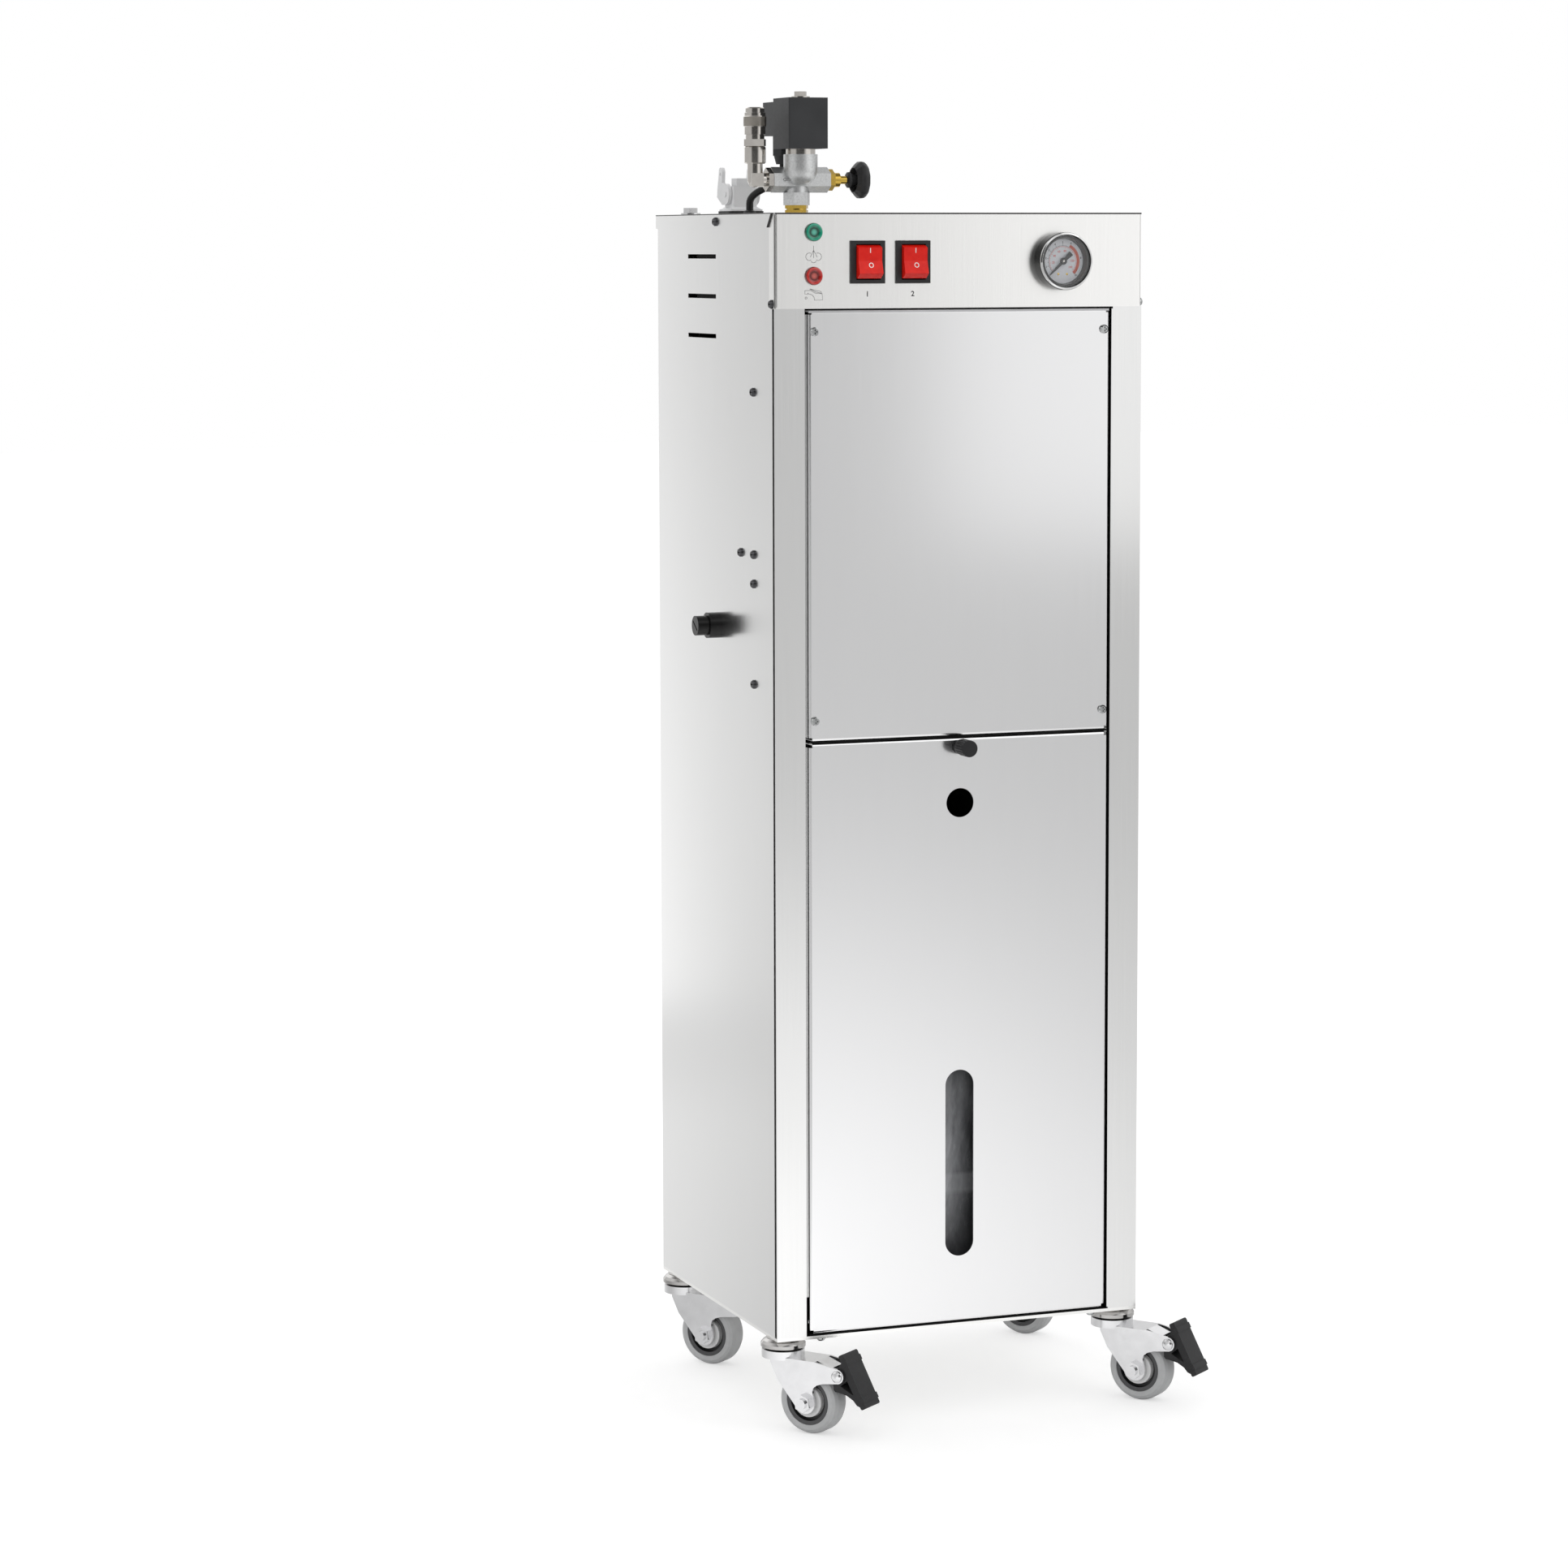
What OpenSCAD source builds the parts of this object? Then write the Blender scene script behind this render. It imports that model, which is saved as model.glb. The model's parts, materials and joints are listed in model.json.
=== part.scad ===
// Freestanding steam boiler: a sheet steel cabinet on four casters, with a feed tank behind the
// lower door, a pressure vessel above it and a solenoid steam valve on the lid.
// X runs to the right, Y to the back and Z up from the floor.

/* [Cabinet] */
// Width across the side panels
cabinet_w = 295; // [285:1:320]
// Depth from the front face to the back panel
cabinet_d = 260; // [255:1:290]
// Height of the cabinet above its casters
cabinet_h = 840; // [800:1:900]
// Thickness of the folded sheet
sheet_t = 1.2; // [1:0.1:1.4]
// Outside radius of a fold
bend_r = 2.2; // [1.8:0.1:3]
// Width of each front post
post_w = 23.5; // [22:0.5:26]
// Height of the control header
header_h = 70; // [66:1:80]
// Height of the sill under the door
sill_h = 2.4; // [2.4:0.1:3.4]
// Height of the seam between door and upper panel, above the floor pan
seam_up = 450; // [420:1:470]
// Gap beside the door and the upper panel
side_gap = 2.7; // [2:0.1:3.2]
// Gap above and below the door and the upper panel
seam_gap = 1.3; // [1.3:0.1:2]
// Height of the lip of the lid
lid_lip_h = 10.7; // [8:0.1:14]

/* [Door] */
// Height of the hinge axis above the lower edge of the door
hinge_up = 9; // [9:0.5:12]
// Depth of the hinge axis behind the front face
hinge_in = 4; // [3.8:0.1:4]
// Diameter of the hinge pins
hinge_pin_d = 3; // [2.5:0.1:3]
// Distance of the thumb screw below the upper edge of the door
knob_down = 6.7; // [6.5:0.1:9]
// Diameter of the thumb screw's knob
knob_d = 12.7; // [10:0.1:13]
// Length of the thumb screw's knob
knob_l = 19; // [14:0.5:24]
// Diameter of the finger hole
finger_hole_d = 22; // [18:0.5:26]
// Distance of the finger hole below the thumb screw
finger_down = 42.5; // [38:0.5:50]
// Width of the sight slot
sight_w = 23; // [18:0.5:26]
// Length of the sight slot
sight_l = 143; // [120:1:160]
// Height of the slot's lower end above the floor pan
sight_up = 54; // [45:1:70]

/* [Controls] */
// Diameter of the indicator lamps
lamp_d = 13.5; // [12:0.5:14]
// Width of a rocker switch bezel
switch_w = 26.6; // [25:0.1:28]
// Height of a rocker switch bezel
switch_h = 31.4; // [30:0.1:33]
// Distance between the two switches
switch_pitch = 36; // [33:0.5:40]
// Tilt of the rockers from their middle position, in degrees
rocker_tilt = 8; // [6:0.5:9]
// Diameter of the gauge bezel
gauge_d = 43; // [40:0.5:46]
// Distance that the gauge bezel stands out
gauge_out = 11.6; // [9:0.1:13]

/* [Steam valve] */
// Distance of the valve from the left side panel
valve_in = 44; // [40:0.5:50]
// Distance of the inlet from the front face
inlet_back = 70; // [66:0.5:80]
// Distance of the solenoid in front of the inlet
column_front = 8.7; // [8:0.1:9]
// Height of the bar's axis above the lid
bar_up = 24.8; // [24:0.1:27]
// Size of the hexagonal bar across its corners
bar_hex_d = 19; // [17:0.5:19.5]
// Length of the hexagonal bar to the left of the inlet
bar_left = 20.5; // [19:0.5:24]
// Length of the hexagonal bar to the right of the inlet
bar_right = 24.5; // [20:0.5:28]
// Diameter of the solenoid column
column_d = 25.4; // [23:0.2:26]
// Width of the solenoid coil
coil_w = 31; // [29:0.5:33]
// Depth of the solenoid coil
coil_d = 34; // [32:0.5:36]
// Height of the solenoid coil
coil_h = 37.5; // [34:0.5:42]
// Travel of the plunger
plunger_travel = 4; // [3:0.5:5]
// Diameter of the hand knob
hand_knob_d = 28; // [25:0.5:32]
// Bore of the outlet coupler
coupler_bore_d = 8; // [6:0.2:8.4]
// Travel of the coupler's sleeve
sleeve_travel = 3; // [2:0.2:3]

/* [Casters] */
// Diameter of the wheels
wheel_d = 50; // [48:1:52]
// Width of the wheels
wheel_w = 18; // [16:0.5:20]
// Height from the floor to the floor pan
caster_h = 70; // [69:0.5:74]
// Distance of a wheel's axle behind its swivel axis
caster_trail = 26.5; // [25:0.5:28]
// Direction in which the casters trail, in degrees
caster_turn = -52; // [-180:1:180]
// Distance of a swivel axis from the side
caster_in_x = 11.5; // [11:0.5:16]
// Distance of a swivel axis from the front or the back
caster_in_y = 18; // [17:0.5:22]
// Length of a brake pedal's tread
pedal_l = 43.6; // [40:0.2:44]

/* [Boiler and feed] */
// Diameter of the pressure vessel
vessel_d = 156; // [140:1:160]
// Height of the vessel's straight wall
vessel_h = 200; // [160:1:210]
// Width of the feed tank
tank_w = 190; // [160:1:200]
// Depth of the feed tank
tank_d = 190; // [150:1:205]
// Height of the feed tank without its neck
tank_h = 330; // [280:1:360]
// Thickness of the tank's wall
tank_wall = 3; // [2:0.5:4]
// Diameter of the feed tank's mouth
tank_mouth_d = 58; // [50:1:70]

/* [Hidden] */
$fn = 48;
// One overrun serves every cut
overrun = 1;
// Clearances
hole_play = 0.2;
run_play = 0.05;
clear = 0.3;

half_w = 0.5 * cabinet_w;
half_d = 0.5 * cabinet_d;
floor_z = caster_h;
sill_z = floor_z + sill_h;
top_z = floor_z + cabinet_h;
lid_z = top_z - sheet_t;
header_z = top_z - header_h;
seam_z = floor_z + seam_up;
inner_x = half_w - sheet_t;
inner_y = half_d - sheet_t;
pan_z = floor_z + sheet_t;

// Front frame
post_in = half_w - post_w;
post_slot = 5;
lip_back = 10;
lip_y = -half_d + lip_back;
lip_w = 15;
lip_foot = 30;
rail_h = 22;

// Folded fronts
front_x = post_in - side_gap;
front_depth = 9.4;
relief_play = 0.8;
relief = bend_r + relief_play;
door_z0 = sill_z + seam_gap;
door_z1 = seam_z - 0.5 * seam_gap;
panel_z0 = seam_z + 0.5 * seam_gap;
panel_z1 = header_z - seam_gap;

// Screws
screw_r = 1.9;
screw_head_r = 3.35;
screw_head_h = 2.3;
panel_screw_in = 4.8;
panel_screw_up = 15.5;
side_screw_back = 45;
side_screw_y = -half_d + side_screw_back;
side_screw_downs = [131.9, 252.4, 274.2, 349.3];
side_screw_zs = [for (down = side_screw_downs) top_z - down];
side_pair_pitch = 27.6;
header_screw_back = 5.3;
header_screw_y = -half_d + header_screw_back;
header_screw_up = 3.4;
lid_screw_y = -7.5;
lid_screw_down = 0.55 * lid_lip_h;

// Hinge
hinge_y = -half_d + hinge_in;
hinge_z = door_z0 + hinge_up;
hinge_pin_r = 0.5 * hinge_pin_d;
hinge_arm_in = 8.3;
hinge_arm_x = front_x - hinge_arm_in;
hinge_arm_t = 2;
hinge_eye_play = 0.5;
hinge_eye_r = hinge_in - sheet_t - hinge_eye_play;
hinge_foot_w = 10;
hinge_leg_gap = 1.6;
hinge_leg_d = 6;
sill_screw_x = hinge_arm_x - 0.2 * hinge_foot_w;
hinge_sweep_r = sqrt(hinge_up * hinge_up + hinge_in * hinge_in);
hinge_leg_y = hinge_y + hinge_sweep_r + hinge_leg_gap;
hinge_flange_x = hinge_arm_x - 0.7 * hinge_foot_w;

// Thumb screw
knob_z = door_z1 - knob_down;
knob_screw_r = 2.5;
knob_boss_r = 4.5;
knob_boss_l = 5;
knob_grip_count = 18;
finger_z = knob_z - finger_down;
sight_z0 = floor_z + sight_up;

// Vents
vent_w = 63;
vent_h = 3.3;
vent_pitch = 30;
vent_down = 32;
vent_y = -4;

// Controls
lamp_in = 30.7;
lamp_x = -half_w + lamp_in;
lamp_down = 14.2;
lamp_z = top_z - lamp_down;
lamp_pitch = 31.9;
lamp_stem_r = 0.44 * lamp_d;
lamp_depth = 16;
switch_in = 73;
switch_x = -half_w + switch_in;
switch_down = 36.1;
switch_z = top_z - switch_down;
switch_xs = [switch_x, switch_x + switch_pitch];
bezel_t = 2.2;
switch_body_w = 0.9 * switch_w;
switch_body_h = 0.92 * switch_h;
switch_depth = 22;
rocker_w = 0.7 * switch_w;
rocker_h = 0.79 * switch_h;
rocker_pivot_in = 2.5;
rocker_pivot_y = -half_d - bezel_t + rocker_pivot_in;
rocker_pin_r = 1.2;
rocker_play = 1.4;
rocker_room_h = rocker_h + rocker_play;
rocker_room_d = 8.5;
gauge_in = 66.7;
gauge_x = half_w - gauge_in;
gauge_down = 36;
gauge_z = top_z - gauge_down;
gauge_r = 0.5 * gauge_d;
gauge_front_y = -half_d - gauge_out;
gauge_rim = 1.1;
gauge_body_r = gauge_r - gauge_rim;
gauge_wall = 2.4;
gauge_room_r = gauge_r - gauge_wall;
gauge_depth = 22;
dial_r = gauge_room_r - hole_play;
dial_t = 0.8;
dial_y = gauge_front_y + 0.7 * gauge_out;
glass_t = 1.2;
glass_in = 0.8;
glass_y = gauge_front_y + glass_in;
needle_l = 0.36 * gauge_d;
needle_tail = 0.2 * gauge_d;
needle_t = 0.5;
needle_off = 1.7;
needle_y = dial_y - needle_off;
needle_zero = -133;
needle_pin_r = 0.8;
needle_pin_l = 1.2;

// Steam valve on the lid
valve_x = -half_w + valve_in;
inlet_y = -half_d + inlet_back;
column_y = inlet_y - column_front;
nipple_h = 6;
nipple_hex_r = 9.2;
nipple_stem_r = 6.5;
nipple_stem_l = 14;
inlet_hex_r = 10.5;
inlet_top = 15.4;
bar_z = top_z + bar_up;
column_r = 0.5 * column_d;
column_sink = 4.8;
column_base = top_z + bar_up - column_sink + column_r;
column_l = 10.8;
column_top = column_base + column_l;
ring_h = 4;
ring_r = 11;
coil_z0 = column_top + ring_h;
coil_z1 = coil_z0 + coil_h;
tube_r = 4.5;
plunger_r = 3.2;
plunger_l = 24;
plunger_sink = 7.5;
plunger_seat = column_top - plunger_sink;
plunger_room_z = plunger_seat + clear + plunger_l + plunger_travel + clear;
washer_r = 7;
washer_t = 1.2;
coil_nut_r = 4.9;
coil_nut_h = 3.6;
plug_w = 27.5;
plug_d = 26;
plug_h = 25;
plug_down = 2.3;
plug_gland_r = 8.2;
plug_gland_h = 21;
plug_off = 2.5;
plug_x = valve_x - plug_off;
plug_y = column_y + 0.5 * coil_d + 0.5 * plug_d;
plug_z0 = coil_z1 - plug_down - plug_h;
cable_r = 2.75;
cable_lift = 2.5;
grommet_off = 22.5;
grommet_x = valve_x - grommet_off;
grommet_back = 40;
grommet_y = inlet_y + grommet_back;
grommet_r = 5;
grommet_neck_r = 4;
bar_x1 = valve_x + bar_right;
bar_x0 = valve_x - bar_left;
elbow_reach = 12.4;
elbow_x = bar_x0 - elbow_reach;
elbow_r = 5.75;
elbow_stub_r = 5.3;
elbow_nut_r = 9;
elbow_nut_l = 4;
elbow_boss = 4.8;
elbow_rise = 11.7;
coupler_z = bar_z + elbow_rise;
coupler_foot_l = 13;
coupler_hex_z = coupler_z + coupler_foot_l;
coupler_hex_l = 5.1;
coupler_neck_z = coupler_hex_z + coupler_hex_l;
sleeve_play = 0.4;
sleeve_z0 = coupler_neck_z + sleeve_travel + sleeve_play;
sleeve_l = 16.1;
coupler_nose_z = sleeve_z0 + sleeve_l + clear;
coupler_nose_l = 3.8;
coupler_top = coupler_nose_z + coupler_nose_l;
coupler_r = 8;
coupler_hex_r = 8.65;
coupler_neck_r = 7;
coupler_core_r = 6.2;
coupler_nose_r = 7.15;
coupler_bore_r = 0.5 * coupler_bore_d;
coupler_floor = 1.4;
coupler_bore_l = coupler_top - coupler_neck_z - coupler_floor;
sleeve_r = 7.9;
knurl_r = 8.25;
bonnet_hex_r = 8;
bonnet_hex_l = 4.2;
bonnet_r = 5.3;
bonnet_l = 9.2;
bonnet_neck_r = 3;
bonnet_top_l = 15;
spindle_r = 2.4;
hand_knob_l = 8.6;
hand_hub_r = 6;
hand_hub_l = 6.8;
hand_knob_play = 0.5;
hand_knob_x0 = valve_x + bar_right + bonnet_top_l + hand_knob_play;
hand_lobes = 8;

// Iron socket on the lid
socket_in = 29.1;
socket_x = -half_w + socket_in;
socket_y = 20;
gasket_w = 28;
gasket_d = 29;
gasket_t = 2.2;
socket_flange_t = 3.3;
socket_w = 19.5;
socket_h = 21;
socket_wall = 1.6;
socket_depth = 12;
insert_w = 11;
insert_h = 27;
lever_up = 15;
lever_z = top_z + lever_up;
lever_t = 2.6;
lever_disc_r = 8;
lever_pin_r = 2;
lever_reach = 15.5;
lever_bar = 3;
lever_tip = 16.6;
lever_tip_r = 3.8;
lever_tip_y = 10.6;

// Bolt on the lid
bolt_in_x = 19.5;
bolt_x = -half_w + bolt_in_x;
bolt_in_y = 22;
bolt_y = half_d - bolt_in_y;
bolt_washer_r = 7.8;
bolt_washer_t = 1.4;
bolt_head_r = 5.75;
bolt_head_h = 4;
bolt_r = 2.9;
bolt_l = 12;

// Fuse holder
fuse_y = -6.8;
fuse_down = 311;
fuse_z = top_z - fuse_down;
fuse_flange_r = 9.75;
fuse_flange_l = 9.6;
fuse_cap_r = 7.5;
fuse_cap_l = 9.1;
fuse_body_r = 7;
fuse_body_l = 24;
fuse_plug_r = 4.5;
fuse_slot_w = 1.4;
fuse_slot_d = 1.2;

// Casters
caster_x = half_w - caster_in_x;
caster_y = half_d - caster_in_y;
wheel_r = 0.5 * wheel_d;
half_wheel = 0.5 * wheel_w;
axle_r = 4;
axle_hex_r = 6.9;
axle_hex_h = 4.5;
axle_tip = 2;
cheek_play = 2;
cheek_in = half_wheel + cheek_play;
cheek_t = 2;
cheek_out = cheek_in + cheek_t;
cup_r = 17;
cup_z1 = caster_h;
cup_h = 8.5;
cup_z0 = caster_h - cup_h;
cup_neck_r = 13;
ring_z1 = cup_z0 - clear;
ring_rise = 4.2;
web_z1 = ring_z1 - ring_rise;
web_t = 2;
web_z0 = web_z1 - web_t;
race_r = 16.2;
race_in_r = 8;
king_r = 4;
king_head_r = 7;
king_head_h = 2;
king_z0 = web_z0 - clear - king_head_h;
stud_r = 5;
stud_l = 10;
stud_nut_r = 8.6;
stud_nut_h = 5.8;
web_end = 35;
axle_boss_r = 8.5;
cheek_back = 3.6;
cheek_drop = 4.5;
cheek_waist = [24, 15.1];
rivet_reach = 28;
rivet_rise = 23.4;
rivet_u = caster_trail + rivet_reach;
rivet_z = wheel_r + rivet_rise;
rivet_r = 2.5;
rivet_dome_r = 4.6;
rivet_dome_h = 2.6;
arm_r = 5.5;
tab_drop = 3.8;
tab_reach = 11.5;
tab_t = 1.6;
tread_w = 21;
tread_t = 4.5;
tread_lean = 27.6;
tread_near = 6.6;
tread_up_share = 0.31;
pedal_play = 1.6;
pedal_body_w = 2 * cheek_in - pedal_play;
pedal_boss_r = 4.8;
band_t = 0.7;
band_share = 0.1;
// Places round the pedal's pivot, as shares of the tread's length
pedal_body_shares = [[0.053, 0.232], [-0.057, 0.094], [-0.11, -0.023], [-0.101, -0.252],
    [-0.069, -0.284], [-0.009, -0.289], [0.16, -0.321], [0.287, -0.39], [0.36, -0.47], [0.431, -0.493]];
pedal_window_shares = [[0.034, -0.172], [0.165, -0.064], [0.294, -0.303], [0.183, -0.252]];

// Shelf and what stands on it
shelf_up = 6;
shelf_z = seam_z + shelf_up;
shelf_top = shelf_z + sheet_t;
shelf_lip = 14;
vessel_r = 0.5 * vessel_d;
vessel_x = 36;
vessel_y = 20;
vessel_wall = 3;
vessel_dish_r = 1.5 * vessel_r;
dish_steps = 8;
vessel_leg_h = 28;
vessel_leg_r = 7;
vessel_leg_at = 0.72 * vessel_r;
vessel_rise = vessel_dish_r - sqrt(vessel_dish_r * vessel_dish_r - vessel_r * vessel_r);
inner_dish_r = vessel_dish_r - vessel_wall;
inner_vessel_r = vessel_r - vessel_wall;
inner_rise = inner_dish_r - sqrt(inner_dish_r * inner_dish_r - inner_vessel_r * inner_vessel_r);
vessel_z0 = shelf_top + vessel_leg_h + vessel_rise;
vessel_z1 = vessel_z0 + vessel_h;
port_r = 8;
port_l = 4;
port_z = vessel_z1 + vessel_rise + port_l;
port_shares = [[-0.385, -0.282], [0.436, 0.103], [-0.077, 0.462], [0.385, -0.41]];
port_places = vessel_r * port_shares;
port_bore_r = 3;
element_up = 22;
element_z = vessel_z0 + element_up;
element_port_r = 24;
element_port_l = 6;
element_port_y = vessel_y - vessel_r - element_port_l;
element_flange_r = 30;
element_flange_t = 6;
element_rod_r = 4;
element_rod_gap = 22;
element_rod_l = 1.62 * vessel_r;
element_pin_r = 2.5;
element_pin_l = 12;
inlet_spigot_l = 9;
inlet_spigot_r = 5;
inlet_up = 45;
inlet_spigot_z = vessel_z0 + inlet_up;

pump_in = 45;
pump_x = -half_w + pump_in;
pump_y = 62;
pump_w = 38;
pump_d = 34;
pump_h = 44;
pump_foot = 48;
pump_foot_t = 6;
pump_nose_r = 8;
pump_nose_l = 12;
pump_tip_r = 4;
pump_top = shelf_top + pump_foot_t + pump_h + pump_nose_l;
hose_r = 4;
tank_x0 = -0.5 * tank_w;
tank_play = 12;
tank_y0 = lip_y + tank_play;
tank_z0 = pan_z;
tank_r = 22;
tank_neck_h = 14;
tank_neck_r = 0.5 * tank_mouth_d + tank_wall;
tank_mid_y = tank_y0 + 0.5 * tank_d;

board_t = 1.6;
board_off = 8;
board_w = 62;
board_margin = 16;
relay_d = 24;

gland_in_x = 45;
gland_x = half_w - gland_in_x;
gland_up = 60;
gland_z = floor_z + gland_up;
gland_thread_r = 9.8;
gland_hex_r = 13;
gland_hex_l = 5;
gland_dome_r = 11;
gland_dome_l = 15;
gland_bore_r = 4.5;
gland_in = 12;

// Leads and bends of the cable, the hoses and the pipes
cable_steps = 12;
cable_lead = 5;
cable_bend = 12;
hose_steps = 8;
suction_foot = 14;
tank_clear = 30;
suction_lead = tank_h + tank_clear;
suction_bend = 45;
suction_x = -20;
feed_lead = 14;
feed_bend = 24;
pipe_steps = 10;
steam_r = 5;
steam_lead = 16;
steam_bend = 34;
gauge_line_r = 2;
gauge_line_lead = 14;
gauge_line_bend = 30;
gauge_stem_l = 9;
gauge_line_y = -half_d + gauge_depth + gauge_stem_l;
inlet_tip_x = vessel_x - vessel_r - inlet_spigot_l;

// The origin lies under the middle of the overall box
reach_left = half_w + fuse_flange_l + clear + fuse_cap_l;
pedal_end_u = rivet_u + tread_near + 0.22 * pedal_l + tread_t;
reach_right = caster_x + pedal_end_u * cos(caster_turn) - 0.5 * tread_w * sin(caster_turn);
reach_front = caster_y - pedal_end_u * sin(caster_turn) + 0.5 * tread_w * cos(caster_turn);
reach_back = half_d + gland_hex_l + gland_dome_l;
frame_x = 0.5 * (reach_left - reach_right);
frame_y = 0.5 * (reach_front - reach_back);

// General shapes
module in_frame() {
    translate([frame_x, frame_y, 0]) children();
}

module block(lo, hi) {
    translate(lo) cube(hi - lo);
}

module rod_x(x0, x1, y, z, r) {
    translate([x0, y, z]) rotate([0, 90, 0]) cylinder(h = x1 - x0, r = r);
}

module rod_y(x, y0, y1, z, r) {
    translate([x, y0, z]) rotate([-90, 0, 0]) cylinder(h = y1 - y0, r = r);
}

module rod_z(x, y, z0, z1, r) {
    translate([x, y, z0]) cylinder(h = z1 - z0, r = r);
}

module hex_x(x0, x1, y, z, r) {
    translate([x0, y, z]) rotate([0, 90, 0]) cylinder(h = x1 - x0, r = r, $fn = 6);
}

module hex_z(x, y, z0, z1, r) {
    translate([x, y, z0]) cylinder(h = z1 - z0, r = r, $fn = 6);
}

// A rounded rectangle from its corner
module round_rect(w, h, r) {
    translate([r, 0]) square([w - 2 * r, h]);
    translate([0, r]) square([w, h - 2 * r]);
    for (x = [r, w - r], y = [r, h - r]) translate([x, y]) circle(r);
}

// The section of a folded channel: closed in front at y = 0 and open behind
module channel(w, d) {
    difference() {
        translate([-0.5 * w, 0]) intersection() {
            round_rect(w, 2 * d, bend_r);
            square([w, d]);
        }
        translate([-0.5 * w + sheet_t, sheet_t]) round_rect(w - 2 * sheet_t, 3 * d, bend_r - sheet_t);
    }
}

// A folded front: side flanges and end flanges round one plate, with relieved corners
module folded_front(z0, z1, depth) {
    span = z1 - z0;
    translate([0, -half_d, z0 + relief]) linear_extrude(span - 2 * relief) channel(2 * front_x, depth);
    translate([-front_x + relief, -half_d, 0.5 * (z0 + z1)]) rotate([90, 0, 90])
        linear_extrude(2 * (front_x - relief)) rotate(-90) mirror([1, 0]) channel(span, depth);
}

// A route between two ends, straight out of each by its lead and bending over between them
function bow(p, u, q, v, t) = let(s = 1 - t)
    s * s * s * p + 3 * s * s * t * (p + u) + 3 * s * t * t * (q + v) + t * t * t * q;
function route_between(a, way_a, lead_a, b, way_b, lead_b, bend, steps) = concat([a],
    [for (i = [0 : steps]) bow(a + lead_a * way_a, bend * way_a, b + lead_b * way_b, bend * way_b, i / steps)], [b]);

// A round tube along a route of points, as one closed solid
function unit(v) = v / norm(v);
function heading(route, i) = unit(
    i == 0 ? route[1] - route[0] :
    i == len(route) - 1 ? route[i] - route[i - 1] :
    unit(route[i + 1] - route[i]) + unit(route[i] - route[i - 1]));
function carry(side, along) = unit(side - (side * along) * along);
function sides_along(route, first) = [for (i = 0, s = carry(first, heading(route, 0)); i < len(route);
    i = i + 1, s = carry(s, heading(route, min(i, len(route) - 1)))) s];

module tube_along(route, r, sides, first) {
    side = sides_along(route, first);
    rings = len(route);
    dots = [for (i = [0 : rings - 1], k = [0 : sides - 1])
        let(u = side[i], v = cross(heading(route, i), u), a = 360 * k / sides)
        route[i] + r * (cos(a) * u + sin(a) * v)];
    walls = [for (i = [0 : rings - 2], k = [0 : sides - 1], h = [0, 1])
        let(a = i * sides + k, b = i * sides + (k + 1) % sides)
        h == 0 ? [a, a + sides, b] : [b, a + sides, b + sides]];
    ends = [[for (k = [0 : sides - 1]) k], [for (k = [sides - 1 : -1 : 0]) (rings - 1) * sides + k]];
    polyhedron(points = dots, faces = concat(walls, ends));
}

// Cabinet
module caster_places() {
    for (x = [-caster_x, caster_x], y = [-caster_y, caster_y]) translate([x, y, 0]) children();
}

module base_tray() {
    color("silver") in_frame() difference() {
        block([-half_w, -half_d, floor_z], [half_w, half_d, sill_z]);
        block([-inner_x, -inner_y, pan_z], [inner_x, inner_y, sill_z + overrun]);
        caster_places() rod_z(0, 0, floor_z - overrun, sill_z, stud_r + hole_play);
        for (s = [-1, 1]) rod_z(s * sill_screw_x, hinge_y, floor_z - overrun, sill_z, screw_r + hole_play);
    }
}

// One side panel, as it stands on the left
module side_shell() {
    difference() {
        union() {
            block([-half_w, -half_d + post_slot, sill_z], [-inner_x, half_d, lid_z]);
            block([-half_w, -half_d + post_slot, sill_z], [-post_in - sheet_t, -half_d + post_slot + sheet_t, lid_z]);
        }
        block([-half_w - overrun, -half_d, header_z], [-post_in, lip_y + sheet_t, lid_z + overrun]);
        for (i = [0 : 2]) block([-half_w - overrun, vent_y, top_z - vent_down - i * vent_pitch - 0.5 * vent_h],
            [-inner_x + overrun, vent_y + vent_w, top_z - vent_down - i * vent_pitch + 0.5 * vent_h]);
        rod_x(-half_w - overrun, -inner_x + overrun, lid_screw_y, top_z - lid_screw_down, screw_r + hole_play);
    }
}

module board_screw_places() {
    for (z = side_screw_zs) translate([0, side_screw_y, z]) children();
    translate([0, side_screw_y + side_pair_pitch, side_screw_zs[1]]) children();
}

module side_panel_left() {
    color("gainsboro") in_frame() difference() {
        side_shell();
        board_screw_places() rod_x(-half_w - overrun, -inner_x + overrun, 0, 0, screw_r + hole_play);
        rod_x(-half_w - overrun, -inner_x + overrun, fuse_y, fuse_z, fuse_body_r + hole_play);
    }
}

module side_panel_right() {
    color("gainsboro") in_frame() mirror([1, 0, 0]) side_shell();
}

module back_panel() {
    color("gainsboro") in_frame() difference() {
        union() {
            block([-inner_x, inner_y, sill_z], [inner_x, half_d, lid_z]);
            for (s = [0, 1]) mirror([s, 0, 0])
                block([inner_x - sheet_t, inner_y - lip_w, sill_z], [inner_x, half_d, lid_z]);
        }
        rod_y(gland_x, inner_y - overrun, half_d + overrun, gland_z, gland_thread_r + hole_play);
        for (s = [-1, 1], i = [0 : 5])
            block([s * 0.5 * half_w - 0.5 * vent_w, inner_y - overrun, top_z - vent_down - i * vent_pitch],
                [s * 0.5 * half_w + 0.5 * vent_w, half_d + overrun, top_z - vent_down - i * vent_pitch + vent_h]);
    }
}

module panel_screw_places() {
    for (x = [-front_x + panel_screw_in, front_x - panel_screw_in], z = [panel_z0 + panel_screw_up, panel_z1 - panel_screw_up])
        translate([x, 0, z]) children();
}

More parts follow.
